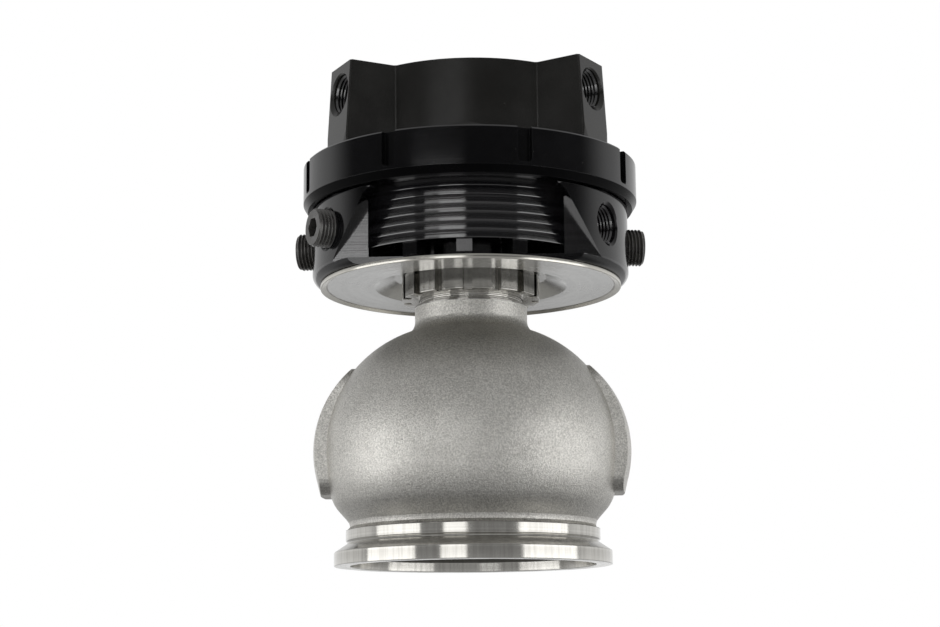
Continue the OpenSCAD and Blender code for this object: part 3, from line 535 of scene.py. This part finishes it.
def makeSpringSteel(name):
    material, tree, shader, place = newMaterial(name)
    peened = noise(tree, place, 1700.0, 2.0, 0.5)
    mottle = noise(tree, place, 120.0, 3.0, 0.6)
    tempered = mixColours(tree, mottle, (0.13, 0.15, 0.20), (0.24, 0.26, 0.31))
    tree.links.new(tempered, shader.inputs["Base Color"])
    shader.inputs["Metallic"].default_value = 1.0
    tree.links.new(mapped(tree, peened, 0.3, 0.7, 0.30, 0.46), shader.inputs["Roughness"])
    bumped(tree, shader, peened, 0.00004, 0.7)
    return material


castSteel = makeCastSteel("castSteel")
turnedSteel = makeTurnedMetal("turnedSteel", (0.52, 0.51, 0.48), (0.38, 0.37, 0.345), 0.08)
shieldMetal = makeTurnedMetal(
    "shieldMetal", (0.74, 0.74, 0.73), (0.64, 0.64, 0.63), 0.18, depth=0.000003, lines=2600.0, spread=0.5)
# painted shade along the fold of the plate's lip, and a darker lip outside it
paintFoldShade(shieldMetal, 38.75, 0.35, (0.20, 0.185, 0.16), (0.56, 0.545, 0.50))
blackAnodise = makeBlackAnodise("blackAnodise")
# a darker, less glossy copy of the black anodise for faces that look down: painted shade
shadedAnodise = makeBlackAnodise("shadedAnodise", (0.0012, 0.0012, 0.0014), 0.22, 1.16)
satinAnodise = makeBlackAnodise("satinAnodise", (0.0085, 0.0082, 0.0072), 0.21)
milledAnodise = makeMilledAnodise("milledAnodise")
oxideSteel = makeOxideSteel("oxideSteel")
valveAlloy = makeValveAlloy("valveAlloy")
bronze = makeTurnedMetal("bronze", (0.66, 0.46, 0.22), (0.50, 0.33, 0.15), 0.22)
sealRubber = makeSoftSolid(
    "sealRubber", (0.018, 0.018, 0.018), (0.030, 0.029, 0.028), 0.45, 900.0, 0.00003)
graphite = makeSoftSolid("graphite", (0.06, 0.06, 0.06), (0.12, 0.12, 0.12), 0.42, 1400.0, 0.00005)
clothRed = makeCoatedCloth("clothRed")
turnedAluminium = makeTurnedMetal("turnedAluminium", (0.78, 0.79, 0.80), (0.68, 0.69, 0.70), 0.18)
zincSteel = makeTurnedMetal("zincSteel", (0.60, 0.60, 0.56), (0.48, 0.49, 0.47), 0.24)
springSteel = makeSpringSteel("springSteel")
slipPolymer = makeSoftSolid(
    "slipPolymer", (0.72, 0.70, 0.65), (0.80, 0.79, 0.75), 0.40, 700.0, 0.00002)
print("materials are ready")


# ---- mesh tools ----

def copyOfNode(name):
    bm = bmesh.new()
    bm.from_mesh(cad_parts[name].data)
    bmesh.ops.remove_doubles(bm, verts=bm.verts, dist=0.002 * mm)
    bmesh.ops.dissolve_limit(bm, angle_limit=radians(0.5), verts=bm.verts, edges=bm.edges)
    return bm


# a closed outline of (radius, height) in millimetres, spun about the Z axis
def spun(outline, steps=240, angle=360.0, start=0.0):
    bm = bmesh.new()
    corners = [bm.verts.new((r * mm, 0, z * mm)) for r, z in outline]
    sides = [bm.edges.new((corners[i - 1], corners[i])) for i in range(len(corners))]
    if angle < 360.0:
        lid = bm.faces.new(corners)
        turn = Matrix.Rotation(radians(start), 3, "Z")
        bmesh.ops.rotate(bm, verts=corners, cent=(0, 0, 0), matrix=turn)
        bmesh.ops.spin(
            bm, geom=[lid], cent=(0, 0, 0), axis=up, angle=radians(angle), steps=steps, use_merge=False)
    else:
        bmesh.ops.spin(
            bm, geom=corners + sides, cent=(0, 0, 0), axis=up, angle=2 * pi, steps=steps, use_merge=True)
    bmesh.ops.remove_doubles(bm, verts=bm.verts, dist=0.001 * mm)
    bmesh.ops.recalc_face_normals(bm, faces=bm.faces)
    return bm


def softenEdges(bm, width, segments=2, angle=28.0, only=None):
    edges = [
        e for e in bm.edges
        if len(e.link_faces) == 2 and e.calc_face_angle() > radians(angle) and (only is None or only(e))
    ]
    bmesh.ops.bevel(
        bm, geom=edges, offset=width * mm, offset_type="OFFSET", affect="EDGES",
        segments=segments, profile=0.5, material=-1, clamp_overlap=True)
    return bm


# cuts away what lies beyond a plane and closes the ring that is left
def trimRing(bm, point, normal):
    cut = bmesh.ops.bisect_plane(
        bm, geom=bm.verts[:] + bm.edges[:] + bm.faces[:], plane_co=Vector(point) * mm,
        plane_no=normal, clear_outer=True, dist=0.0005 * mm)
    rim = [e for e in cut["geom_cut"] if isinstance(e, bmesh.types.BMEdge) and e.is_boundary]
    bmesh.ops.bridge_loops(bm, edges=rim)


def finishPiece(name, bm, body, material, standsFor=(), angle=32.0):
    mesh = bpy.data.meshes.new(name)
    bm.normal_update()
    bm.to_mesh(mesh)
    bm.free()
    materials = material if isinstance(material, (list, tuple)) else [material]
    for one in materials:
        mesh.materials.append(one)
    mesh.shade_smooth()
    mesh.set_sharp_from_angle(angle=radians(angle))
    piece = bpy.data.objects.new(name, mesh)
    scene.collection.objects.link(piece)
    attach(piece, body)
    if standsFor:
        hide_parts(*standsFor)
    return piece


def evenNormals(piece):
    modifier = piece.modifiers.new("evenNormals", "WEIGHTED_NORMAL")
    modifier.keep_sharp = True
    return piece


upright, onWall = 0.02, 0.02  # how far a wall may lean, and how far off its radius it may lie, in mm


# gives the facets of round walls the normals of the true cylinders: (x, y, radius) in millimetres
def trueRounds(piece, walls):
    evenNormals(piece)
    done = piece.evaluated_get(bpy.context.evaluated_depsgraph_get()).data
    normals = [corner.vector.copy() for corner in done.corner_normals]
    piece.modifiers.clear()
    mesh = piece.data
    for face in mesh.polygons:
        if abs(face.normal.z) > upright:
            continue
        for x, y, radius in walls:
            centre = Vector((x * mm, y * mm, 0))
            spokes = [(mesh.vertices[v].co - centre) * Vector((1, 1, 0)) for v in face.vertices]
            if any(abs(spoke.length - radius * mm) > onWall * mm for spoke in spokes):
                continue
            for loop, spoke in zip(face.loop_indices, spokes):
                outwards = 1 if spoke.dot(face.normal) > 0 else -1
                normals[loop] = spoke.normalized() * outwards
    mesh.normals_split_custom_set(normals)
    return piece


def asObject(bm, name):
    mesh = bpy.data.meshes.new(name)
    bm.to_mesh(mesh)
    bm.free()
    thing = bpy.data.objects.new(name, mesh)
    scene.collection.objects.link(thing)
    return thing


# takes one closed shape out of another and gives the rest back as a bmesh
def cutAway(bm, cutter, operation="DIFFERENCE"):
    body, tool = asObject(bm, "stock"), asObject(cutter, "tool")
    modifier = body.modifiers.new("cut", "BOOLEAN")
    modifier.operation = operation
    modifier.solver = "EXACT"
    modifier.object = tool
    mesh = bpy.data.meshes.new_from_object(body.evaluated_get(bpy.context.evaluated_depsgraph_get()))
    for thing in (body, tool):
        stock = thing.data
        bpy.data.objects.remove(thing)
        bpy.data.meshes.remove(stock)
    rest = bmesh.new()
    rest.from_mesh(mesh)
    bpy.data.meshes.remove(mesh)
    return rest


def towardsFront(bm, distance, height, azimuth):
    # a piece made along +Z is laid along the outward direction at that angle
    lay = up.rotation_difference(directionTo(azimuth)).to_matrix().to_4x4()
    place = directionTo(azimuth) * distance * mm
    place.z = height * mm
    bmesh.ops.transform(bm, matrix=Matrix.Translation(place) @ lay, verts=bm.verts)


# ---- housing: casting with three turned ends ----

housingShape = {
    "castCut": 10.1, "hubTop": 9.2, "neckCut": 68.6, "outletCut": 48.0, "castSoftness": 0.7,
    "flangeR": 36.6, "rimTop": 3.5, "hubFoot": 5.8, "hubR": 33.5, "hubLip": 0.35,
    "boreR": 32.2, "boreDepth": 2.6, "boreFlare": 0.15, "seatR": 28.5, "seatFoot": 3.65,
    "neckR": 15.1, "neckTop": 69.1, "spigotR": 13.77, "spigotTop": 81.3, "spigotLead": (0.5, 0.25),
    "guideR": 7.0, "sealR": 9.0, "guideTop": 77.6, "grooveTop": 70.4, "grooveFoot": 69.9,
    "grooveR": 13.27, "outletZ": 34.3, "outletBore": 24.0, "registerR": 26.0, "registerDepth": 2.6,
    "outletPipe": 27.5, "outletFlange": 31.5, "outletFace": 56.0, "outletRim": 3.2, "veeHeight": 2.3,
    "chamfer": 0.25, "neckChamfer": 0.1, "pipeFrom": 20.0, "pipeTuck": 1.2,
    "inletSteps": 288, "neckSteps": 192, "outletSteps": 256,
}


# between the bulb and the hub the casting swells out a little before it turns in
footSwell = {
    "middle": 16.4, "below": 5.0, "above": 15.0, "rings": 20, "most": 0.95,
    "innerR": 30.6, "outerR": 41.0, "fade": 3.0, "rearFrom": 8.0, "rearTo": 20.0,
}


def swellFoot(bm, shape):
    for ring in range(shape["rings"]):
        height = shape["middle"] - shape["below"] + ring
        bmesh.ops.bisect_plane(
            bm, geom=bm.verts[:] + bm.edges[:] + bm.faces[:], plane_co=(0, 0, height * mm),
            plane_no=up, dist=0.01 * mm)
    for v in bm.verts:
        r, away = v.co.xy.length / mm, v.co.z / mm - shape["middle"]
        away = away / shape["above"] if away > 0 else -away / shape["below"]
        if away >= 1 or not shape["innerR"] < r < shape["outerR"]:
            continue
        share = min(1.0, (shape["outerR"] - r) / shape["fade"])
        ahead = (shape["rearTo"] - v.co.y / mm) / (shape["rearTo"] - shape["rearFrom"])
        share *= min(1.0, max(0.0, ahead))
        grown = 1 + shape["most"] * cos(away * pi / 2) ** 2 * share / r
        v.co.x *= grown
        v.co.y *= grown


# takes the turned foot off the casting but leaves the underside of the outlet pipe behind the hub
def trimFoot(bm, shape):
    bmesh.ops.bisect_plane(
        bm, geom=bm.verts[:] + bm.edges[:] + bm.faces[:], plane_co=(0, 0, shape["castCut"] * mm),
        plane_no=up, dist=0.0005 * mm)
    turned = []
    for face in bm.faces:
        at = face.calc_center_median() / mm
        offHub = at.xy.length > shape["hubR"] + onWall and at.z > shape["hubFoot"]
        if at.z < shape["castCut"] and not (offHub and at.y > shape["pipeFrom"]):
            turned.append(face)
    bmesh.ops.delete(bm, geom=turned, context="FACES")
    rim = [e for e in bm.edges if e.is_boundary]
    low = (shape["castCut"] - 0.01) * mm
    footEdge = {v for e in rim for v in e.verts}
    pipeEdge = {v for v in footEdge if v.co.z < low}
    corners = {e.other_vert(v) for v in pipeEdge for e in v.link_edges} & (footEdge - pipeEdge)
    for v in footEdge - corners:
        if v in pipeEdge:
            v.co.xy *= 1 - shape["pipeTuck"] / shape["hubR"]
        else:
            v.co.z = shape["hubTop"] * mm
    bmesh.ops.bridge_loops(bm, edges=rim)


def makeCastBody(shape):
    bm = copyOfNode("valve_housing")
    trimRing(bm, (0, 0, shape["neckCut"]), (0, 0, 1))
    trimRing(bm, (0, shape["outletCut"], 0), (0, 1, 0))
    trimFoot(bm, shape)
    softenEdges(bm, shape["castSoftness"], 3)
    swellFoot(bm, footSwell)
    return finishPiece("castBody", bm, "housing", castSteel, ["valve_housing"], 40.0)


def makeInletFlange(shape):
    hubLip = shape["hubLip"]
    bm = spun([
        (shape["seatR"], shape["seatFoot"]),
        (shape["boreR"], shape["boreDepth"]),
        (shape["boreR"] + shape["boreFlare"], 0),
        (shape["flangeR"], 0),
        (shape["flangeR"], shape["rimTop"]),
        (shape["hubR"] - hubLip, shape["hubFoot"]),
        (shape["hubR"] - hubLip, shape["hubFoot"] + hubLip),
        (shape["hubR"], shape["hubFoot"] + 2 * hubLip),
        (shape["hubR"], shape["hubTop"]),
        (shape["seatR"], shape["hubTop"]),
    ], shape["inletSteps"])
    softenEdges(bm, shape["chamfer"], 2, 20.0)
    return finishPiece("inletFlange", bm, "housing", turnedSteel, ["valve_housing"])


def makeNeckSpigot(shape):
    leadIn, leadUp = shape["spigotLead"]
    bm = spun([
        (shape["guideR"], shape["neckCut"]),
        (shape["neckR"], shape["neckCut"]),
        (shape["neckR"], shape["neckTop"]),
        (shape["spigotR"] + leadIn, shape["neckTop"]),
        (shape["spigotR"], shape["neckTop"] + leadUp),
        (shape["spigotR"], shape["grooveFoot"]),
        (shape["grooveR"], shape["grooveFoot"]),
        (shape["grooveR"], shape["grooveTop"]),
        (shape["spigotR"], shape["grooveTop"]),
        (shape["spigotR"], shape["spigotTop"]),
        (shape["sealR"], shape["spigotTop"]),
        (shape["sealR"], shape["guideTop"]),
        (shape["guideR"], shape["guideTop"]),
    ], shape["neckSteps"])
    softenEdges(bm, shape["neckChamfer"], 2, 20.0)
    return finishPiece("neckSpigot", bm, "housing", turnedSteel, ["valve_housing"])


def makeOutletFlange(shape):
    face = shape["outletFace"]
    bm = spun([
        (shape["outletBore"], shape["outletCut"]),
        (shape["outletPipe"], shape["outletCut"]),
        (shape["outletPipe"], face - shape["outletRim"] - shape["veeHeight"]),
        (shape["outletFlange"], face - shape["outletRim"]),
        (shape["outletFlange"], face),
        (shape["registerR"], face),
        (shape["registerR"], face - shape["registerDepth"]),
        (shape["outletBore"], face - shape["registerDepth"] - shape["registerR"] + shape["outletBore"]),
    ], shape["outletSteps"])
    softenEdges(bm, shape["chamfer"], 2, 20.0)
    # the outline was drawn up the Z axis; it lies along the outlet
    lay = Matrix.Translation((0, 0, shape["outletZ"] * mm)) @ Matrix.Rotation(-pi / 2, 4, "X")
    bmesh.ops.transform(bm, matrix=lay, verts=bm.verts)
    return finishPiece("outletFlange", bm, "housing", turnedSteel, ["valve_housing"])


def onAxis(*radii):
    return [(0, 0, radius) for radius in radii]


hubR, hubLip = housingShape["hubR"], housingShape["hubLip"]
evenNormals(makeCastBody(housingShape))
trueRounds(makeInletFlange(housingShape), onAxis(housingShape["flangeR"], hubR, hubR - hubLip))
trueRounds(makeNeckSpigot(housingShape), onAxis(housingShape["neckR"], housingShape["spigotR"]))
makeOutletFlange(housingShape)
print("housing made")


# ---- lock ring and heat shield plate ----

ringShape = {"edge": 0.22, "wallR": 18.6}


def makeLockRing(shape):
    bm = copyOfNode("lock_ring")
    softenEdges(bm, shape["edge"], 2)
    return finishPiece("lockRing", bm, "ring", turnedSteel, ["lock_ring"])


plateShape = {
    "holeR": 14.0, "dishInnerR": 20.5, "dishOuterR": 26.0, "rimR": 40.5,
    "lipW": 1.9, "lipFoot": 0.4, "lipH": 0.7,
    "z": 73.9, "thickness": 1.2, "dish": 3.4, "edge": 0.16, "steps": 288,
}


def makeShieldPlate(shape):
    z, t, dish = shape["z"], shape["thickness"], shape["dish"]
    lipR = shape["rimR"] - shape["lipW"]
    bm = spun([
        (shape["holeR"], z + dish),
        (shape["dishInnerR"], z + dish),
        (shape["dishOuterR"], z + shape["lipH"]),
        (lipR, z + shape["lipH"]),
        (shape["rimR"] - shape["lipFoot"], z),
        (shape["rimR"], z),
        (shape["rimR"], z + t),
        (shape["dishOuterR"], z + t),
        (shape["dishInnerR"], z + t + dish),
        (shape["holeR"], z + t + dish),
    ], shape["steps"])
    softenEdges(bm, shape["edge"], 2, 15.0)
    return finishPiece("shieldPlate", bm, "housing", shieldMetal, ["heat_shield_plate"])


trueRounds(makeLockRing(ringShape), onAxis(ringShape["wallR"]))
makeShieldPlate(plateShape)
print("lock ring and plate made")


# ---- threads and plugs ----

# zigzag and ridge: how far out as a share of the depth, how far up as a share of the pitch
threadShape = {
    "pitch": 0.941, "depth": 0.55, "stepsPerTurn": 40, "chamfer": 0.6, "chamferSlope": 0.9,
    "zigzag": [(-1.0, 0.0), (-0.12, 0.44), (-0.12, 0.56), (-1.0, 1.0)],
    "sunk": 0.05, "ridgeFoot": 0.04, "ridgeTop": 0.8,
}


# a helical thread on a rod, made along +Z from a zigzag that is spun as it climbs
def threadedRod(radius, length, shape):
    pitch, depth, perTurn = shape["pitch"], shape["depth"], shape["stepsPerTurn"]
    turns = int(length / pitch) + 3
    bm = bmesh.new()
    corners = [
        bm.verts.new(((radius + out * depth) * mm, 0, (rise - 2) * pitch * mm))
        for out, rise in shape["zigzag"]
    ]
    sides = [bm.edges.new((corners[i], corners[i + 1])) for i in range(len(corners) - 1)]
    bmesh.ops.spin(
        bm, geom=corners + sides, cent=(0, 0, 0), axis=up, dvec=up * pitch / perTurn * mm,
        angle=2 * pi * turns, steps=perTurn * turns, use_merge=False)
    bmesh.ops.remove_doubles(bm, verts=bm.verts, dist=0.004 * mm)
    for height, normal in ((0.0, (0, 0, -1)), (length, (0, 0, 1))):
        bmesh.ops.bisect_plane(
            bm, geom=bm.verts[:] + bm.edges[:] + bm.faces[:], plane_co=(0, 0, height * mm),
            plane_no=normal, clear_outer=True, dist=0.0005 * mm)
    # the end is chamfered: nothing stands outside a cone there
    for v in bm.verts:
        past = max(0.0, v.co.z / mm - (length - shape["chamfer"]))
        allowed = (radius - past * shape["chamferSlope"]) * mm
        r = v.co.xy.length
        if r > allowed:
            v.co.x *= allowed / r
            v.co.y *= allowed / r
    rims = [e for e in bm.edges if e.is_boundary]
    bmesh.ops.holes_fill(bm, edges=rims, sides=0)
    bmesh.ops.recalc_face_normals(bm, faces=bm.faces)
    return bm


# a thread inside a bore: a three cornered ridge that climbs the wall
def boreThread(radius, length, shape):
    pitch, depth, perTurn = shape["pitch"], shape["depth"], shape["stepsPerTurn"]
    turns = int(length / pitch)
    bm = bmesh.new()
    foot, wall = shape["ridgeFoot"] * pitch, radius + shape["sunk"]
    ridge = [(wall, foot), (radius - shape["ridgeTop"] * depth, 0.5 * pitch), (wall, pitch - foot)]
    corners = [bm.verts.new((r * mm, 0, z * mm)) for r, z in ridge]
    lid = bm.faces.new(corners)
    bmesh.ops.spin(
        bm, geom=[lid], cent=(0, 0, 0), axis=up, dvec=up * pitch / perTurn * mm,
        angle=2 * pi * turns, steps=perTurn * turns, use_merge=False)
    bmesh.ops.recalc_face_normals(bm, faces=bm.faces)
    return bm


def prism(sides, acrossFlats, low, high):
    bm = bmesh.new()
    cornerR = acrossFlats / 2 / cos(pi / sides) * mm
    bmesh.ops.create_cone(
        bm, cap_ends=True, segments=sides, radius1=cornerR, radius2=cornerR, depth=(high - low) * mm)
    bmesh.ops.translate(bm, verts=bm.verts, vec=(0, 0, (low + high) / 2 * mm))
    return bm


# each plug: angle, radius of its outer end, turn of its socket
plugShape = {
    "radius": 5.1, "length": 9.5, "height": 86.5, "socket": 4.8, "socketDepth": 5.0, "through": 1.0,
    "flareDepth": 0.9, "flareW": 0.75, "flareTop": 0.2, "flareSteps": 48,
    "plugs": [(-97, 47.7, 12), (-59, 46.6, 25), (100, 47.5, 5)],
}
nearAxis = 0.001  # an outline that closes on the axis stops this far from it, in mm


def makePlugs(shape, thread):
    length, top = shape["length"], shape["length"] + shape["flareTop"]
    for number, (angle, endR, spin) in enumerate(shape["plugs"]):
        bm = threadedRod(shape["radius"], length, thread)
        socket = prism(6, shape["socket"], length - shape["socketDepth"], length + shape["through"])
        turn = Matrix.Rotation(radians(spin), 3, "Z")
        bmesh.ops.rotate(socket, verts=socket.verts, cent=(0, 0, 0), matrix=turn)
        bm = cutAway(bm, socket)
        flareR = shape["socket"] / 2 + shape["flareW"]
        flare = spun(
            [(nearAxis, length - shape["flareDepth"]), (flareR, top), (nearAxis, top)], shape["flareSteps"])
        bm = cutAway(bm, flare)
        towardsFront(bm, endR - length, shape["height"], angle)
        finishPiece(
            f"portPlug{number + 1}", bm, "actuator", oxideSteel, ["body_port_plugs"], 25.0)


# sink: the countersink of an ear port, from (how far past the thread, how far out of the mouth)
portShape = {
    "radius": 5.15, "mouth": 1.0, "bodyR": 42.6, "bodyDepth": 8.4, "bodyHeight": 86.5, "bodyAngle": 60,
    "earMouth": 38.857, "earDepth": 10.0, "earHeight": 124.0, "earAngles": (-60, 60, 180),
    "sink": [(-0.3, -1.0), (0.75, 0.05), (0.9, 1.0)], "sinkSteps": 64,
}


def makePortThreads(shape, thread):
    length = shape["bodyDepth"] - shape["mouth"]
    bm = boreThread(shape["radius"], length, thread)
    towardsFront(bm, shape["bodyR"] - shape["bodyDepth"], shape["bodyHeight"], shape["bodyAngle"])
    finishPiece("bodyPortThread", bm, "actuator", milledAnodise)
    for number, angle in enumerate(shape["earAngles"]):
        bm = boreThread(shape["radius"], shape["earDepth"] - shape["mouth"], thread)
        towardsFront(bm, shape["earMouth"] - shape["earDepth"], shape["earHeight"], angle)
        finishPiece(f"earPortThread{number + 1}", bm, "cap_set", milledAnodise)


makePlugs(plugShape, threadShape)
makePortThreads(portShape, threadShape)
print("threads and plugs made")


# ---- actuator body, collar and cap ----

# step: outline of one cut down the drum, as (share of its height, how far it stands out)
bodyShape = {
    "edge": 0.3, "rounds": onAxis(42.6, 35.4, 42.2, 40.0, 31.5), "pocketY": 24.8, "pocketTolerance": 0.1,
    "drumR": 35.4, "drumLow": 80.4, "drumHigh": 96.3, "drumSkin": 0.6, "drumRaise": 0.01,
    "drumProud": 0.02, "scallops": 7, "halfAngle": 47.0, "steps": 96,
    "step": [(0.0, 0.03), (0.03, 0.05), (0.06, 0.058), (0.10, 0.062), (0.90, 0.062), (0.95, 0.045)],
}


def makeActuatorBody(shape):
    bm = copyOfNode("actuator_body")
    softenEdges(bm, shape["edge"], 2)
    for face in bm.faces:
        middle = face.calc_center_median()
        off = abs(abs(middle.y) / mm - shape["pocketY"])
        flat = abs(face.normal.y) > 0.99 and off < shape["pocketTolerance"]
        face.material_index = 1 if flat else 0
    return finishPiece(
        "actuatorBody", bm, "actuator", [blackAnodise, milledAnodise], ["actuator_body"])


# the drum in each pocket is cut in steps, each with a rolled foot and a narrow groove above it
def makeMilledDrum(shape):
    pitch = (shape["drumHigh"] - shape["drumLow"]) / shape["scallops"]
    low, skinR = shape["drumLow"] + shape["drumRaise"], shape["drumR"] - shape["drumSkin"]
    outline = [(skinR, low)]
    for cut in range(shape["scallops"]):
        for share, out in shape["step"]:
            outline.append((shape["drumR"] + out + shape["drumProud"], low + (cut + share) * pitch))
    outline += [(shape["drumR"], shape["drumHigh"]), (skinR, shape["drumHigh"])]
    for name, middle in (("milledDrumFront", -90.0), ("milledDrumRear", 90.0)):
        bm = spun(outline, shape["steps"], 2 * shape["halfAngle"], middle - shape["halfAngle"])
        finishPiece(name, bm, "actuator", milledAnodise, (), 50.0)


collarShape = {"edge": 0.25, "rounds": onAxis(45.2, 42.28, 40.3)}
capShape = {
    "edge": 0.45, "earEdge": 1.1, "earUpright": 0.97, "earLength": 2.0, "rounds": onAxis(40.0, 42.0),
    "coreShift": 12.3, "coreR": 36.0, "coreAngles": (0, 120, 240),
}


def makeCollar(shape):
    bm = copyOfNode("locking_collar")
    softenEdges(bm, shape["edge"], 2)
    for face in bm.faces:
        # faces that look down take the darker copy: painted shade on the collar's underside
        face.material_index = 1 if face.normal.z < -0.5 else 0
    return finishPiece(
        "lockingCollar", bm, "collar", [blackAnodise, shadedAnodise], ["locking_collar"])


def makeCap(shape, ports):
    bm = copyOfNode("cap")

    def earCorner(edge):
        along = (edge.verts[0].co - edge.verts[1].co).normalized()
        return abs(along.z) > shape["earUpright"] and edge.calc_length() > shape["earLength"] * mm

    softenEdges(bm, shape["earEdge"], 4, only=earCorner)
    softenEdges(bm, shape["edge"], 3)
    wall = [(ports["radius"] + past, out) for past, out in ports["sink"]]
    outline = [(nearAxis, wall[0][1])] + wall + [(nearAxis, wall[-1][1])]
    for angle in ports["earAngles"]:
        sink = spun(outline, ports["sinkSteps"])
        towardsFront(sink, ports["earMouth"], ports["earHeight"], angle)
        bm = cutAway(bm, sink)
    return finishPiece("capShell", bm, "cap_set", satinAnodise, ["cap"])


trueRounds(makeActuatorBody(bodyShape), bodyShape["rounds"])
makeMilledDrum(bodyShape)
trueRounds(makeCollar(collarShape), collarShape["rounds"])
coreArcs = [
    (-capShape["coreShift"] * sin(radians(a)), capShape["coreShift"] * cos(radians(a)), capShape["coreR"])
    for a in capShape["coreAngles"]
]
trueRounds(makeCap(capShape, portShape), capShape["rounds"] + coreArcs)
print("body, collar and cap made")


# ---- the pieces that stay as the frame has them ----

nodeFinishes = {
    "seat_ring": turnedSteel, "valve_guide": bronze, "stem_seal": graphite, "stem_bush": bronze,
    "stem_o_ring": sealRubber, "valve": valveAlloy, "lower_diaphragm_plate": turnedAluminium,
    "diaphragm": clothRed, "upper_diaphragm_plate": turnedAluminium, "stem_washer": zincSteel,
    "stem_nut": zincSteel, "outer_spring": springSteel, "inner_spring": springSteel,
    "slip_ring": slipPolymer, "valve_housing": castSteel, "heat_shield_plate": shieldMetal,
    "lock_ring": turnedSteel, "actuator_body": blackAnodise, "body_port_plugs": oxideSteel,
    "cap": satinAnodise, "locking_collar": blackAnodise,
}
for name, material in nodeFinishes.items():
    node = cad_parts[name]
    node.data.materials.clear()
    node.data.materials.append(material)
print("inner pieces finished")


# ---- floor ----

# the floor fades into the backdrop between two distances from the gate, in metres
floorShape = {"outerR": 2.5, "steps": 96, "fadeFrom": 0.22, "fadeTo": 0.48}


def makeFloor(shape):
    material, tree, shader, place = newMaterial("paleFloor")
    tone = noise(tree, place, 9.0, 3.0, 0.5)
    paint = mixColours(tree, tone, (0.80, 0.80, 0.795), (0.83, 0.83, 0.825))
    tree.links.new(paint, shader.inputs["Base Color"])
    shader.inputs["Roughness"].default_value = 0.75
    clear = addNode(tree, "ShaderNodeBsdfTransparent")
    side = addNode(tree, "ShaderNodeNewGeometry")
    seen = addNode(tree, "ShaderNodeLightPath")
    mix = addNode(tree, "ShaderNodeMixShader")
    out = tree.nodes["Material Output"]
    fade = mapped(tree, aboutAxis(tree, place)[0], shape["fadeFrom"], shape["fadeTo"], 0.0, 1.0)
    gone = maths(tree, "MULTIPLY", fade, seen.outputs["Is Camera Ray"])
    tree.links.new(maths(tree, "MAXIMUM", gone, side.outputs["Backfacing"]), mix.inputs[0])
    tree.links.new(shader.outputs[0], mix.inputs[1])
    tree.links.new(clear.outputs[0], mix.inputs[2])
    tree.links.new(mix.outputs[0], out.inputs["Surface"])
    bm = bmesh.new()
    bmesh.ops.create_circle(bm, cap_ends=True, segments=shape["steps"], radius=shape["outerR"])
    for face in bm.faces:
        if face.normal.z < 0:
            face.normal_flip()
    mesh = bpy.data.meshes.new("floor")
    bm.to_mesh(mesh)
    bm.free()
    mesh.materials.append(material)
    floor = bpy.data.objects.new("floor", mesh)
    floor.visible_glossy = False
    scene.collection.objects.link(floor)


makeFloor(floorShape)
print("floor laid")
